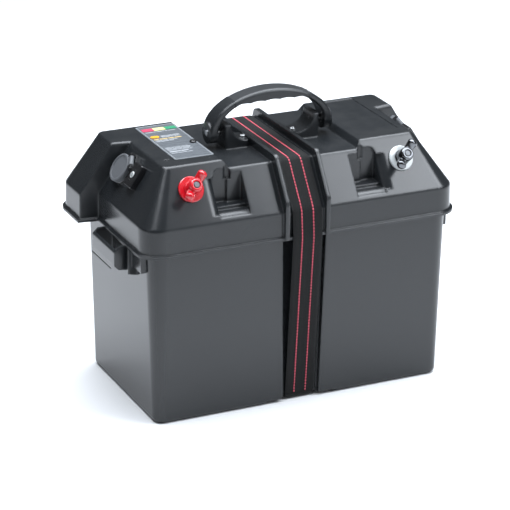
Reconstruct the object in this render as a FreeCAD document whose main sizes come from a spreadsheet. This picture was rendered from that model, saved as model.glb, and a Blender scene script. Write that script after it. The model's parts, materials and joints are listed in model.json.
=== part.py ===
import FreeCAD, Part
import math
import os
import Sketcher

# Battery box with a strapped lid, a carrying handle, a charge meter, two 12 V sockets,
# two breakers and a pair of outside terminals.
# Row frame: X along the length, Y towards the back, Z up.  The origin is the middle of the
# underside.  Millimetres and degrees throughout.

Vector = FreeCAD.Vector
Rotation = FreeCAD.Rotation
Placement = FreeCAD.Placement

doc = FreeCAD.newDocument("battery_box")
sheet = doc.addObject("Spreadsheet::Sheet", "sizes")

# Dimensions: alias, value or formula, what it sets.
DRIVING = [
    ("tub_taper_long", 14.0, "tub length lost towards the floor"),
    ("tub_length_low", "=tub_length_high - tub_taper_long", "tub length at the floor"),
    ("tub_taper_wide", 7.0, "tub width lost towards the floor"),
    ("tub_width_low", "=tub_width_high - tub_taper_wide", "tub width at the floor"),
    ("tub_length_high", 392.0, "tub length at its top edge"),
    ("tub_width_high", 212.0, "tub width at its top edge"),
    ("tub_height", 238.0, "top edge of the tub"),
    ("tub_corner_low", 12.0, "upright corner radius at the floor"),
    ("tub_corner_high", 20.0, "upright corner radius at the top edge"),
    ("tub_wall", 3.5, "tub wall"),
    ("tub_floor", 4.0, "tub floor"),
    ("tub_edge_round", 6.0, "bottom edge radius"),
    ("channel_side", 5.0, "strap channel beyond the webbing at the floor"),
    ("channel_half_low", "=strap_width / 2 + channel_side", "half width of the strap channel at the floor"),
    ("channel_flare", 5.0, "spread of the strap channel towards the top"),
    ("channel_half_high", "=channel_half_low + channel_flare", "half width of the strap channel at the top edge"),
    ("channel_depth", 10.0, "channel depth at the top edge"),
    ("groove_side", 27.0, "strap groove beyond the webbing"),
    ("groove_half", "=strap_width / 2 + groove_side", "half width of the strap groove under the tub"),
    ("groove_depth", 4.0, "depth of the strap groove under the tub"),
    ("keeper_half", 7.0, "half width of the bar that keeps the strap in its groove"),
    ("keeper_thick", 1.4, "thickness of the bar that keeps the strap in its groove"),
    ("grip_front", -50.0, "front cheek of an end grab bracket"),
    ("grip_back", 20.0, "back cheek of an end grab bracket"),
    ("grip_reach", 23.0, "grab bracket beyond the tub's top edge"),
    ("grip_below", 33.0, "grab bar below the tub's top edge"),
    ("grip_top", "=tub_height - grip_below", "top of the grab bar"),
    ("grip_drop", 22.0, "depth of the grab bar"),
    ("grip_plate", 3.0, "grab bracket plate"),
    ("lid_over_long", 14.0, "skirt length beyond the tub's top edge"),
    ("lid_length", "=tub_length_high + lid_over_long", "lid skirt length without the piers"),
    ("lid_over_wide", 6.0, "skirt width beyond the tub's top edge"),
    ("lid_width", "=tub_width_high + lid_over_wide", "lid skirt width"),
    ("lid_corner", 25.0, "skirt corner radius"),
    ("lid_draft", 0.5, "skirt draft on each side"),
    ("lid_wall", 3.0, "lid wall"),
    ("rim_overlap", 25.0, "skirt's lower edge below the tub's top edge"),
    ("rim_height", "=tub_height - rim_overlap", "lower edge of the skirt"),
    ("skirt_depth", 34.0, "upright part of the skirt"),
    ("deck_rise", 52.0, "middle deck above the skirt"),
    ("deck_height", "=rim_height + skirt_depth + deck_rise", "middle deck"),
    ("block_rise", 9.0, "raised end blocks above the deck"),
    ("block_height", "=deck_height + block_rise", "raised end blocks"),
    ("end_run", 40.0, "run of an end slope"),
    ("crown_length", "=lid_length - 2 * end_run", "length of the top of the blocks"),
    ("front_run", 42.0, "run of the front slope"),
    ("crown_front", "=lid_width / 2 - front_run", "front edge of the top from the middle plane"),
    ("back_run", 25.0, "run of the back slope"),
    ("crown_back", "=lid_width / 2 - back_run", "back edge of the top from the middle plane"),
    ("crown_corner", 8.0, "corner radius at the top"),
    ("flange_out", 3.5, "rim flange beyond the skirt"),
    ("flange_thick", 3.5, "rim flange thickness"),
    ("pier_reach", 23.0, "back piers beyond the skirt ends"),
    ("pier_front", 33.0, "pier's front wall at the crown's end"),
    ("pier_draft", 0.13, "run back of the pier's front wall for each mm outwards"),
    ("block_long", 79.0, "length of a block's top, with its inner wall"),
    ("deck_half_low", "=crown_length / 2 - block_long", "block's inner wall at the deck"),
    ("block_lean", 6.0, "lean of a block's inner wall"),
    ("deck_half_high", "=deck_half_low + block_lean", "block's inner wall at its top"),
    ("guide_side", 5.0, "strap guide beyond the webbing's edge"),
    ("guide_half", "=strap_width / 2 + guide_side", "half gap between the strap guides"),
    ("guide_thick", 5.0, "strap guide thickness"),
    ("guide_rise", 10.0, "strap guide above the deck"),
    ("guide_stand", 12.0, "strap guide out from the slopes"),
    ("boss_gap", 2.0, "handle boss beyond a strap guide"),
    ("boss_inner", "=guide_half + guide_thick + boss_gap", "inner end of a handle boss"),
    ("boss_length", 31.0, "length of a handle boss"),
    ("boss_outer", "=boss_inner + boss_length", "outer end of a handle boss"),
    ("boss_half", 15.0, "half depth of a handle boss"),
    ("boss_rise", 30.0, "handle boss above the deck"),
    ("boss_step", 9.0, "low inner end of a boss above the deck"),
    ("scoop_radius", 22.0, "scoop in a handle boss"),
    ("pivot_rise", 19.0, "handle pivot above the deck"),
    ("handle_side", 18.0, "handle's outer face beyond a boss"),
    ("handle_half", "=boss_outer + handle_side", "half span outside the handle's legs"),
    ("handle_rise", 48.0, "top of the handle above its pivot"),
    ("handle_width", 26.0, "handle band width"),
    ("handle_leg", 10.0, "leg thickness at the pivot"),
    ("handle_core", 6.0, "core thickness at the top"),
    ("ear_radius", 13.0, "rounded ear round the pivot"),
    ("grip_half", 48.0, "half length of the soft grip"),
    ("grip_thick", 15.5, "grip thickness at the top"),
    ("grip_skin", 1.2, "soft grip beyond the core"),
    ("pivot_radius", 4.0, "handle pivot pin radius"),
    ("pivot_gap", 0.06, "radial clearance of a turning pin"),
    ("pivot_bite", 8.0, "pivot pin's length inside a boss"),
    ("pocket_before", 14.0, "cable pocket on the deck's side of the block"),
    ("pocket_inner", "=deck_half_low - pocket_before", "inner wall of a cable pocket"),
    ("pocket_after", 22.0, "cable pocket under the block"),
    ("pocket_outer", "=deck_half_low + pocket_after", "outer wall of a cable pocket"),
    ("pocket_flare", 12.0, "rounded outer edge of a cable pocket"),
    ("pocket_drop", 45.0, "floor of a cable pocket below the deck"),
    ("pocket_floor", "=deck_height - pocket_drop", "floor of a cable pocket"),
    ("pocket_step", 4.0, "step at the back of a pocket's floor"),
    ("pocket_deep", 33.0, "cable pocket from the skirt's face"),
    ("pocket_back_deck", "=lid_width / 2 - pocket_deep", "pocket's back wall below the deck"),
    ("pocket_behind", 3.5, "pocket's back wall further in below a block"),
    ("pocket_back_block", "=pocket_back_deck - pocket_behind", "pocket's back wall below a block"),
    ("pocket_arch", 9.0, "radius of a cable pocket's upper outer corner"),
    ("hook_radius", 4.5, "cable notch beside the hook"),
    ("label_length", 124.0, "meter panel length along Y"),
    ("label_width", 50.0, "meter panel width along X"),
    ("label_inset", 47.5, "meter panel's middle from the end of the top"),
    ("label_x", "=label_inset - crown_length / 2", "meter panel middle"),
    ("label_y", 15.0, "meter panel middle"),
    ("label_thick", 1.2, "meter panel thickness"),
    ("blank_length", 126.0, "blank recess length along Y"),
    ("blank_width", 54.0, "blank recess width along X"),
    ("blank_inset", 37.0, "blank recess's middle from the end of the top"),
    ("blank_x", "=crown_length / 2 - blank_inset", "blank recess middle"),
    ("recess_depth", 1.0, "depth of the shallow recesses on the blocks"),
    ("socket_y", 10.0, "12 V socket along Y"),
    ("socket_down", 31.0, "12 V socket down the end slope"),
    ("socket_turn", 45.0, "turn of the socket's hinge about its axis"),
    ("flange_wide", 4.0, "socket flange beyond the barrel"),
    ("socket_flange", "=socket_barrel + flange_wide", "socket flange radius"),
    ("socket_collar", 4.0, "socket flange thickness"),
    ("socket_wall", 3.5, "socket wall"),
    ("socket_barrel", "=socket_bore + socket_wall", "socket barrel radius"),
    ("socket_bore", 10.5, "socket bore radius"),
    ("socket_deep", 36.0, "socket bore depth"),
    ("socket_base", 11.0, "socket beyond the bore's floor"),
    ("mouth_flare", 1.0, "socket's widened mouth beyond its bore"),
    ("mouth_radius", "=socket_bore + mouth_flare", "radius of the socket's widened mouth"),
    ("mouth_depth", 2.2, "depth of the socket's widened mouth"),
    ("contact_hole", 4.5, "radius of the contact's hole in the bore's floor"),
    ("contact_deep", 8.0, "depth of the contact's hole"),
    ("contact_radius", 3.5, "contact radius"),
    ("ring_reach", 4.5, "ring nut beyond the socket's barrel"),
    ("ring_thick", 6.0, "ring nut thickness"),
    ("cap_gap", 0.3, "closed cap above the socket's flange"),
    ("spigot_slack", 1.5, "cap's spigot inside the bore radius"),
    ("spigot_depth", 1.9, "cap's spigot below the flange's face"),
    ("hinge_rise", 3.2, "cap hinge above the socket's flange"),
    ("hinge_length", 18.6, "cap hinge from one ear's outer face to the other"),
    ("ear_thick", 2.9, "hinge ear thickness"),
    ("ear_deep", 6.4, "hinge ear along the cap"),
    ("ear_rise", 5.9, "hinge ear above the flange"),
    ("knuckle_half", 6.0, "half length of the cap's hinge knuckle"),
    ("knuckle_radius", 3.0, "radius of the cap's hinge knuckle"),
    ("cap_thick", 5.0, "socket cap thickness"),
    ("hinge_out", 2.5, "cap hinge beyond the flange"),
    ("cap_reach", "=socket_flange + hinge_out", "cap hinge from the socket's axis"),
    ("cap_pin", 1.5, "cap hinge pin radius"),
    ("breaker_y", -25.0, "breaker along Y"),
    ("breaker_down", 28.0, "breaker down the end slope"),
    ("breaker_wide", 20.0, "breaker housing across the slope"),
    ("breaker_long", 30.0, "breaker housing along the slope"),
    ("breaker_proud", 8.0, "breaker housing above the slope"),
    ("breaker_deep", 28.0, "breaker body inside the lid"),
    ("reset_radius", 4.0, "reset button radius"),
    ("reset_gap", 0.1, "reset button clearance"),
    ("stud_inset", 26.0, "terminal from the end of the top"),
    ("stud_x", "=crown_length / 2 - stud_inset", "terminal from the middle"),
    ("stud_down", 30.0, "terminal down the front slope"),
    ("stud_radius", 4.0, "terminal stud radius"),
    ("stud_out", 22.0, "terminal stud above the slope"),
    ("stud_in", 17.0, "terminal stud inside the lid"),
    ("pad_radius", 15.5, "terminal pad radius"),
    ("pad_thick", 3.0, "terminal pad thickness"),
    ("nut_gap", 0.08, "wing nut's radial clearance on its stud"),
    ("wing_span", 20.0, "wing tip from the stud's axis"),
    ("wing_rise", 18.0, "wing tip above the pad"),
    ("wing_thick", 4.6, "wing thickness"),
    ("wing_rest", 42.0, "turn of the wing nuts at rest"),
    ("hub_wall", 4.0, "wing nut hub round its bore"),
    ("hub_radius", "=stud_radius + hub_wall", "wing nut hub radius"),
    ("hub_height", 11.0, "wing nut hub height"),
    ("washer_wide", 4.0, "terminal washer round its stud"),
    ("washer_radius", "=stud_radius + washer_wide", "terminal washer radius"),
    ("lug_wide", 3.0, "terminal lug round its stud"),
    ("lug_radius", "=stud_radius + lug_wide", "terminal lug radius"),
    ("lug_tail", 20.0, "terminal lug's tail from the stud's axis"),
    ("hex_wide", 3.5, "inner nut round its stud, to its corners"),
    ("hex_radius", "=stud_radius + hex_wide", "inner nut across its corners, halved"),
    ("hex_height", 6.4, "inner nut height"),
    ("strap_width", 38.0, "webbing width"),
    ("strap_thick", 1.8, "webbing thickness"),
    ("strap_gap", 0.4, "webbing to what it lies on"),
    ("buckle_height", 122.0, "middle of the cam buckle"),
    ("buckle_side", 4.5, "buckle frame beyond the webbing's edge"),
    ("buckle_half", "=strap_width / 2 + buckle_side", "half width of the buckle frame"),
    ("buckle_plate", 2.5, "buckle side plates"),
    ("buckle_tall", 38.0, "buckle frame height"),
    ("lever_length", 42.0, "cam lever length"),
    ("test_along", 19.5, "test button from the panel's middle"),
    ("test_x", "=label_x + test_along", "test button place"),
    ("test_across", 12.0, "test button from the panel's middle"),
    ("test_y", "=label_y - test_across", "test button place"),
    ("test_radius", 4.0, "test button radius"),
]
for row, (alias, value, note) in enumerate(DRIVING, start=1):
    sheet.set("A%d" % row, alias)
    sheet.set("B%d" % row, str(value))
    sheet.set("C%d" % row, note)
    sheet.setAlias("B%d" % row, alias)
doc.recompute()


def number(expression):
    """Value of an expression written with the sheet's aliases, such as 'sizes.lid_wall * 2'."""
    return float(sheet.evalExpression(expression))


size = {alias: number("sizes." + alias) for alias, _value, _note in DRIVING}

# Places worked out from the driving dimensions.
SHOULDER = size["rim_height"] + size["skirt_depth"]
CROWN_HALF = size["crown_length"] / 2
LID_HALF = size["lid_length"] / 2
SKIRT_HALF = size["lid_width"] / 2
SLOPE_DROP = size["block_height"] - SHOULDER
FRONT_RUN = SKIRT_HALF - size["crown_front"]
BACK_RUN = SKIRT_HALF - size["crown_back"]
END_RUN = LID_HALF - CROWN_HALF
CHANNEL_FLOOR = size["tub_width_high"] / 2 - size["channel_depth"]
PIVOT_Z = size["deck_height"] + size["pivot_rise"]
FLANGE_FACE = SKIRT_HALF + size["lid_draft"] + size["flange_out"]
STRAP_HALF = size["strap_width"] / 2

finished = []


def keep(obj, label):
    """Name a finished sub-part and list it for export."""
    obj.Label = label
    finished.append(obj)
    return obj


def bind(obj, **expressions):
    """Tie an object's properties to the sheet."""
    for name, expression in expressions.items():
        obj.setExpression(name, expression)
    return obj


def locate(obj, x="0", y="0", z="0"):
    """Tie an object's place to the sheet."""
    obj.setExpression("Placement.Base.x", x)
    obj.setExpression("Placement.Base.y", y)
    obj.setExpression("Placement.Base.z", z)
    return obj


def shaped(name, shape):
    """A feature that holds a shape made with Part's own functions."""
    obj = doc.addObject("Part::Feature", name)
    obj.Shape = shape
    return obj


def block(name, length, width, height, x="0", y="0", z="0"):
    """A box whose edges and low corner are expressions."""
    obj = bind(doc.addObject("Part::Box", name), Length=length, Width=width, Height=height)
    return locate(obj, x, y, z)


def rod(name, radius, height, x="0", y="0", z="0"):
    """A cylinder along Z whose sizes are expressions."""
    obj = bind(doc.addObject("Part::Cylinder", name), Radius=radius, Height=height)
    return locate(obj, x, y, z)


def cut(name, base, tool):
    """Base less tool."""
    obj = doc.addObject("Part::Cut", name)
    obj.Base = base
    obj.Tool = tool
    return obj


def joined(name, pieces):
    """Several features as one solid or as one group of solids."""
    obj = doc.addObject("Part::MultiFuse", name)
    obj.Shapes = pieces
    return obj


# ---------------------------------------------------------------- bodies drawn by sketch

def origin_plane(body, role):
    """One of a body's own origin planes."""
    return [item for item in body.Origin.OriginFeatures if item.Role == role][0]


def outline(body, role, corners, offset="0"):
    """A closed sketch of straight lines whose corners are pairs of expressions."""
    sketch = body.newObject("Sketcher::SketchObject", body.Name + "_outline")
    sketch.AttachmentSupport = [(origin_plane(body, role), "")]
    sketch.MapMode = "FlatFace"
    sketch.setExpression("AttachmentOffset.Base.z", offset)
    places = [(number(x), number(y)) for x, y in corners]
    count = len(places)
    for index, (x, y) in enumerate(places):
        end_x, end_y = places[(index + 1) % count]
        sketch.addGeometry(Part.LineSegment(Vector(x, y, 0), Vector(end_x, end_y, 0)), False)
    for index in range(count):
        sketch.addConstraint(Sketcher.Constraint("Coincident", index, 2, (index + 1) % count, 1))
    for index, corner in enumerate(corners):
        for axis, line, expression, value in zip("XY", (-2, -1), corner, places[index]):
            if abs(value) < 1e-9:
                sketch.addConstraint(Sketcher.Constraint("PointOnObject", index, 1, line))
                continue
            fixed = sketch.addConstraint(
                Sketcher.Constraint("Distance" + axis, -1, 1, index, 1, value))
            sketch.setExpression("Constraints[%d]" % fixed, expression)
    return sketch


def turned(name, corners):
    """A body turned about Z from a half section in the XZ plane."""
    body = doc.addObject("PartDesign::Body", name)
    sketch = outline(body, "XZ_Plane", corners)
    feature = body.newObject("PartDesign::Revolution", name + "_turn")
    feature.Profile = sketch
    feature.ReferenceAxis = (sketch, ["V_Axis"])
    feature.Angle = 360
    body.Tip = feature
    doc.recompute()
    return body


def padded(name, role, corners, length, offset="0", both_ways=False):
    """A body raised from a flat outline in one of its origin planes."""
    body = doc.addObject("PartDesign::Body", name)
    sketch = outline(body, role, corners, offset)
    feature = body.newObject("PartDesign::Pad", name + "_pad")
    feature.Profile = sketch
    feature.setExpression("Length", length)
    feature.Midplane = both_ways
    body.Tip = feature
    doc.recompute()
    return body


def rounded(body, radius, picks):
    """Round the edges of a body's last feature that the test picks."""
    base = body.Tip
    names = ["Edge%d" % (index + 1) for index, edge in enumerate(base.Shape.Edges) if picks(edge)]
    if not names:
        raise RuntimeError(body.Name + ": no edge to round")
    feature = body.newObject("PartDesign::Fillet", body.Name + "_round")
    feature.Base = (base, names)
    feature.setExpression("Radius", radius)
    body.Tip = feature
    doc.recompute()
    return body


def along(edge, axis):
    """Whether an edge is a straight line along an axis."""
    if not isinstance(edge.Curve, Part.Line):
        return False
    return abs(edge.tangentAt(edge.FirstParameter).dot(axis)) > 0.999


def box_corners(x_low, x_high, y_low, y_high):
    """Four corners of a rectangle, as expressions."""
    return [(x_low, y_low), (x_high, y_low), (x_high, y_high), (x_low, y_high)]


# ---------------------------------------------------------------- moulded shells

def rounded_wire(x_half, y_front, y_back, radius, z):
    """A rectangle with round corners at height z, from y_front to y_back."""
    low = Vector(-x_half, y_front, z)
    high = Vector(x_half, y_back, z)
    slant = radius * (1 - math.sqrt(0.5))
    edges = []
    turns = [
        (Vector(high.x, low.y, z), Vector(-1, 0, 0), Vector(0, 1, 0)),
        (Vector(high.x, high.y, z), Vector(0, -1, 0), Vector(-1, 0, 0)),
        (Vector(low.x, high.y, z), Vector(1, 0, 0), Vector(0, -1, 0)),
        (Vector(low.x, low.y, z), Vector(0, 1, 0), Vector(1, 0, 0)),
    ]
    for index, (corner, back, ahead) in enumerate(turns):
        start = corner + back * radius
        middle = corner + (back + ahead) * slant
        end = corner + ahead * radius
        edges.append(Part.Arc(start, middle, end).toShape())
        next_corner, next_back, _ahead = turns[(index + 1) % 4]
        edges.append(Part.LineSegment(end, next_corner + next_back * radius).toShape())
    return Part.Wire(edges)


def drafted(*wires):
    """A solid with straight sides through a stack of rounded rectangles."""
    return Part.makeLoft(list(wires), True, True)


def prism(points, run):
    """A flat polygon moved along run."""
    return Part.Face(Part.makePolygon([Vector(*point) for point in points] +
                                      [Vector(*points[0])])).extrude(Vector(*run))


def mirrored_x(shape):
    """The same shape on the other end."""
    return shape.mirror(Vector(0, 0, 0), Vector(1, 0, 0))


def mirrored_y(shape):
    """The same shape on the other side."""
    return shape.mirror(Vector(0, 0, 0), Vector(0, 1, 0))


def brick(x_low, x_high, y_low, y_high, z_low, z_high):
    """A plain box between two corners."""
    return Part.makeBox(x_high - x_low, y_high - y_low, z_high - z_low,
                        Vector(x_low, y_low, z_low))


def round_where(shape, radius, picks):
    """Round the edges that the test picks."""
    edges = [edge for edge in shape.Edges if picks(edge)]
    if not edges:
        raise RuntimeError("no edge to round")
    return shape.makeFillet(radius, edges)


def tub_solid(inset, z_low, z_high):
    """The tub's drafted form, drawn in by inset."""
    def section(z):
        share = z / size["tub_height"]
        length = size["tub_length_low"] + share * (size["tub_length_high"] - size["tub_length_low"])
        width = size["tub_width_low"] + share * (size["tub_width_high"] - size["tub_width_low"])
        corner = size["tub_corner_low"] + share * (size["tub_corner_high"] - size["tub_corner_low"])
        half = width / 2 - inset
        return rounded_wire(length / 2 - inset, -half, half, corner - inset, z)
    return drafted(section(z_low), section(z_high))


def strap_channel(grow):
    """The front channel of the tub, grown on its three walls."""
    low = size["channel_half_low"] + grow
    high = size["channel_half_high"] + grow
    floor = -(CHANNEL_FLOOR - grow)
    top = size["tub_height"]
    reach = size["tub_width_high"]
    return prism([(-low, floor, -1), (low, floor, -1), (high, floor, top + 1),
                  (-high, floor, top + 1)], (0, -reach, 0))


def strap_groove(grow):
    """The bevelled groove under the tub, grown upwards and sideways."""
    half = size["groove_half"] + grow
    depth = size["groove_depth"] + grow
    reach = size["tub_width_high"]
    return prism([(-half - depth, -reach, -1), (half + depth, -reach, -1),
                  (half, -reach, depth), (-half, -reach, depth)], (0, 2 * reach, 0))


def grab_bracket():
    """The open grab bracket on the right end: a bar held by two cheeks, and a rib and a
    short panel in front of it, all just under the lid's rim."""
    plate = size["grip_plate"]
    wall = size["tub_length_low"] / 2 + 3.0
    bar = size["tub_length_high"] / 2 + size["grip_reach"]
    top = size["grip_top"]
    low = top - size["grip_drop"]
    roof = size["rim_height"] - 1.5
    front = size["grip_front"]
    depth = size["grip_back"] - front
    section = [(wall, front, low - 3), (bar - 5, front, low), (bar, front, low + 5),
               (bar, front, top), (bar - (roof - top), front, roof), (wall, front, roof)]
    bracket = prism(section, (0, depth, 0))
    hollow = brick(wall - 5, bar - plate, front + plate, front + depth - plate, low - 20, roof + 20)
    bracket = bracket.cut(hollow)
    rib_front = front - 10
    rib = prism([(wall, rib_front, low - 6), (wall + 14, rib_front, low - 3),
                 (wall + 14, rib_front, roof), (wall, rib_front, roof)], (0, plate, 0))
    panel_front = rib_front - 27
    panel = brick(wall, wall + 9, panel_front, rib_front + plate / 2, low + 7, roof)
    return bracket.fuse([rib, panel])


def make_tub():
    """The tub: drafted walls, strap channels, strap groove with its keeper, grab brackets."""
    outer = tub_solid(0, 0, size["tub_height"])
    outer = round_where(outer, size["tub_edge_round"],
                        lambda edge: max(vertex.Z for vertex in edge.Vertexes) < 1e-6)
    wall = size["tub_wall"]
    reach = size["tub_length_low"] / 2
    channels = [strap_channel(0), mirrored_y(strap_channel(0))]
    inner = tub_solid(wall, size["tub_floor"], size["tub_height"] + 1)
    inner = inner.cut([strap_channel(wall), mirrored_y(strap_channel(wall)), strap_groove(wall)])
    shell = outer.cut(channels + [strap_groove(0)])
    keeper = brick(-reach, reach, -size["keeper_half"], size["keeper_half"],
                   0, size["keeper_thick"]).common(strap_groove(0))
    seam = brick(0, 1.0, 25, 88, 153.4, 154.6)
    seam.translate(Vector(tub_solid(0, 0, 154).BoundBox.XMax - 0.9, 0, 0))
    shell = shell.fuse([grab_bracket(), mirrored_x(grab_bracket()), keeper])
    shell = shell.cut([inner, seam, mirrored_x(seam)])
    return keep(shaped("tub", shell.removeSplitter()), "tub")


def lid_section(inset, reach, z):
    """The lid's outline at height z in three stages: skirt, slope, crown."""
    half = LID_HALF + reach
    crown = CROWN_HALF + reach
    if z <= SHOULDER:
        slack = size["lid_draft"] * (SHOULDER - z) / size["skirt_depth"] - inset
        side = SKIRT_HALF + slack
        return rounded_wire(half + slack, -side, side, size["lid_corner"] - inset, z)
    share = (z - SHOULDER) / SLOPE_DROP
    front = SKIRT_HALF + share * (size["crown_front"] - SKIRT_HALF)
    back = SKIRT_HALF + share * (size["crown_back"] - SKIRT_HALF)
    corner = size["lid_corner"] + share * (size["crown_corner"] - size["lid_corner"])
    lean = inset * math.hypot(SLOPE_DROP, FRONT_RUN) / SLOPE_DROP
    return rounded_wire(half + share * (crown - half) - lean, -front + lean, back - lean,
                        max(corner - lean, 2.0), z)


def lid_form(inset, reach, z_low):
    """The lid's plain form from z_low up to the blocks' tops, drawn in by inset."""
    lean = inset * math.hypot(SLOPE_DROP, FRONT_RUN) / SLOPE_DROP
    knee = SHOULDER - (lean - inset) * SLOPE_DROP / FRONT_RUN
    wires = [lid_section(inset, reach, z_low)]
    if inset:
        side = SKIRT_HALF - inset
        wires.append(rounded_wire(LID_HALF + reach - inset, -side, side,
                                  size["lid_corner"] - inset, knee))
    else:
        wires.append(lid_section(0, reach, SHOULDER))
    wires.append(lid_section(inset, reach, size["block_height"] - inset))
    return drafted(*wires)


def pier_region(grow):
    """Everything behind the front walls of the two back piers."""
    reach = size["lid_length"]
    front = size["pier_front"] + grow
    lean = size["pier_draft"]
    top = size["block_height"] + 10
    side = prism([(0, front - CROWN_HALF * lean, -10), (reach, front + (reach - CROWN_HALF) * lean, -10),
                  (reach, reach, -10), (0, reach, -10)], (0, 0, top + 20))
    return side, mirrored_x(side)


def with_piers(inset, grow, z_low):
    """The lid's form with its two back piers."""
    plain = lid_form(inset, 0, z_low)
    stretched = lid_form(inset, size["pier_reach"], z_low)
    right, left = pier_region(grow)
    return plain.fuse([stretched.common(right), stretched.common(left)])


def rim_flange():
    """The thin flange round the skirt's lower edge."""
    out = size["lid_draft"] + size["flange_out"]
    side = SKIRT_HALF + out
    low = size["rim_height"]
    rise = Vector(0, 0, size["flange_thick"])

    def plate(reach):
        wire = rounded_wire(LID_HALF + reach + out, -side, side, size["lid_corner"] + out, low)
        return Part.Face(wire).extrude(rise)
    right, left = pier_region(-size["flange_out"])
    stretched = plate(size["pier_reach"])
    return plate(0).fuse([stretched.common(right), stretched.common(left)])


def deck_space(grow):
    """The space above the middle deck, between the sloping inner walls of the blocks."""
    low = size["deck_half_low"] + grow
    high = size["deck_half_high"] + grow
    deck = size["deck_height"] - grow
    rise = size["block_height"] - size["deck_height"]
    lean = (high - low) / rise
    top = rise + grow + 30
    reach = size["lid_width"]
    return prism([(-low, -reach, deck), (low, -reach, deck), (low + lean * top, -reach, deck + top),
                  (-low - lean * top, -reach, deck + top)], (0, 2 * reach, 0))


def pocket_space(grow):
    """The right-hand cable pocket: two back walls, a stepped floor, a rounded outer edge and a
    notch beside the hook.  Grown to leave a wall round it inside the lid."""
    inner = size["pocket_inner"] - grow
    outer = size["pocket_outer"] + grow
    floor = size["pocket_floor"] - grow
    split = size["deck_half_low"] + 3.5
    deck_back = -(size["pocket_back_deck"] - grow)
    block_back = -(size["pocket_back_block"] - grow)
    reach = -SKIRT_HALF - 10
    rise = (size["pocket_back_block"] - size["crown_front"]) * SLOPE_DROP / FRONT_RUN
    top = size["block_height"] - rise + grow
    low_part = brick(inner, split + 1, reach, deck_back, floor, size["deck_height"] - 2)
    high_part = brick(split - grow, outer, reach, block_back, floor, top)
    high_part = round_where(high_part, size["pocket_arch"] + grow, lambda edge: all(
        abs(vertex.X - outer) < 1e-6 and abs(vertex.Z - top) < 1e-6 for vertex in edge.Vertexes))
    step_front = -(size["pocket_back_deck"] + 12) + grow
    step = brick(inner - 1, outer + 1, step_front, 0, floor - 1, floor + size["pocket_step"])
    notch = Part.makeCylinder(size["hook_radius"] + grow, size["deck_height"] - 280 + 20,
                              Vector(split, block_back - 2.5 - grow, 286 - grow))
    radius = size["pocket_flare"]
    centre_x = size["pocket_outer"] + radius
    start_z = top - grow - size["pocket_arch"]
    surface = -(size["crown_front"] + (size["block_height"] - start_z) * FRONT_RUN / SLOPE_DROP)
    centre_y = surface + radius
    arc_radius = radius - grow
    skin = 8.0
    begin = Vector(centre_x - arc_radius, centre_y, start_z)
    middle = Vector(centre_x - arc_radius * math.sqrt(0.5), centre_y - arc_radius * math.sqrt(0.5),
                    start_z)
    end = Vector(centre_x, centre_y - arc_radius, start_z)
    edges = [
        Part.Arc(begin, middle, end).toShape(),
        Part.LineSegment(end, Vector(centre_x, surface - skin, start_z)).toShape(),
        Part.LineSegment(Vector(centre_x, surface - skin, start_z),
                         Vector(begin.x, surface - skin, start_z)).toShape(),
        Part.LineSegment(Vector(begin.x, surface - skin, start_z), begin).toShape(),
    ]
    fall = start_z - floor
    flare = Part.Face(Part.Wire(edges)).extrude(Vector(0, -fall * FRONT_RUN / SLOPE_DROP, -fall))
    return low_part.fuse([high_part, flare]).cut(step).fuse(notch)


def pocket_lip():
    """The bevel on the front edge of a pocket's floor."""
    floor = size["pocket_floor"]
    front = -(size["crown_front"] + (size["block_height"] - floor) * FRONT_RUN / SLOPE_DROP)
    inner = size["pocket_inner"]
    return prism([(inner, front + 6, floor + 0.5), (inner, front - 8, floor + 0.5),
                  (inner, front - 8, floor - 5.5), (inner, front + 6, floor - 0.2)],
                 (size["pocket_outer"] + 2 - inner, 0, 0))


def strap_guide():
    """The right-hand strap guide: a rib over the deck and both slopes, rounded at its turns."""
    x_low = size["guide_half"]
    stand = size["guide_stand"]
    top = size["deck_height"] + size["guide_rise"]
    rim = size["rim_height"] + 0.5
    side = FLANGE_FACE + 2.0
    slope_front = FRONT_RUN / SLOPE_DROP
    slope_back = BACK_RUN / SLOPE_DROP
    push = stand * math.hypot(1, slope_front)
    push_back = stand * math.hypot(1, slope_back)
    above = size["block_height"] - top
    front_top = -(size["crown_front"] + above * slope_front + push)
    back_top = size["crown_back"] + above * slope_back + push_back * 0.5
    front_low = SHOULDER + (-side - (-(SKIRT_HALF) - push)) / slope_front
    back_low = SHOULDER + (push_back * 0.5 + SKIRT_HALF - side) / slope_back
    points = [(x_low, -side, rim), (x_low, -side, front_low), (x_low, front_top, top),
              (x_low, back_top, top), (x_low, side, back_low), (x_low, side, rim)]
    guide = prism(points, (size["guide_thick"], 0, 0))

    def is_turn(edge):
        return along(edge, Vector(1, 0, 0)) and edge.Vertexes[0].Z > SHOULDER - 25
    return round_where(guide, 9.0, is_turn)


def handle_boss():
    """The right-hand boss that a handle leg pivots on, scooped towards the strap."""
    deck = size["deck_height"]
    half = size["boss_half"]
    body = brick(size["boss_inner"], size["boss_outer"], -half, half, deck - 2,
                 deck + size["boss_rise"])
    body = round_where(body, 3.0, lambda edge: along(edge, Vector(0, 0, 1)))
    scoop_z = deck + size["boss_step"] + size["scoop_radius"]
    scoop_x = size["boss_outer"] - 7.0 - size["scoop_radius"]
    scoop = Part.makeCylinder(size["scoop_radius"], 4 * half, Vector(scoop_x, -2 * half, scoop_z),
                              Vector(0, 1, 0))
    clear = brick(0, scoop_x, -2 * half, 2 * half, deck + size["boss_step"], scoop_z + 30)
    upper = brick(0, scoop_x + size["scoop_radius"], -2 * half, 2 * half, scoop_z, scoop_z + 30)
    return body.cut([scoop, clear, upper])


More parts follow.
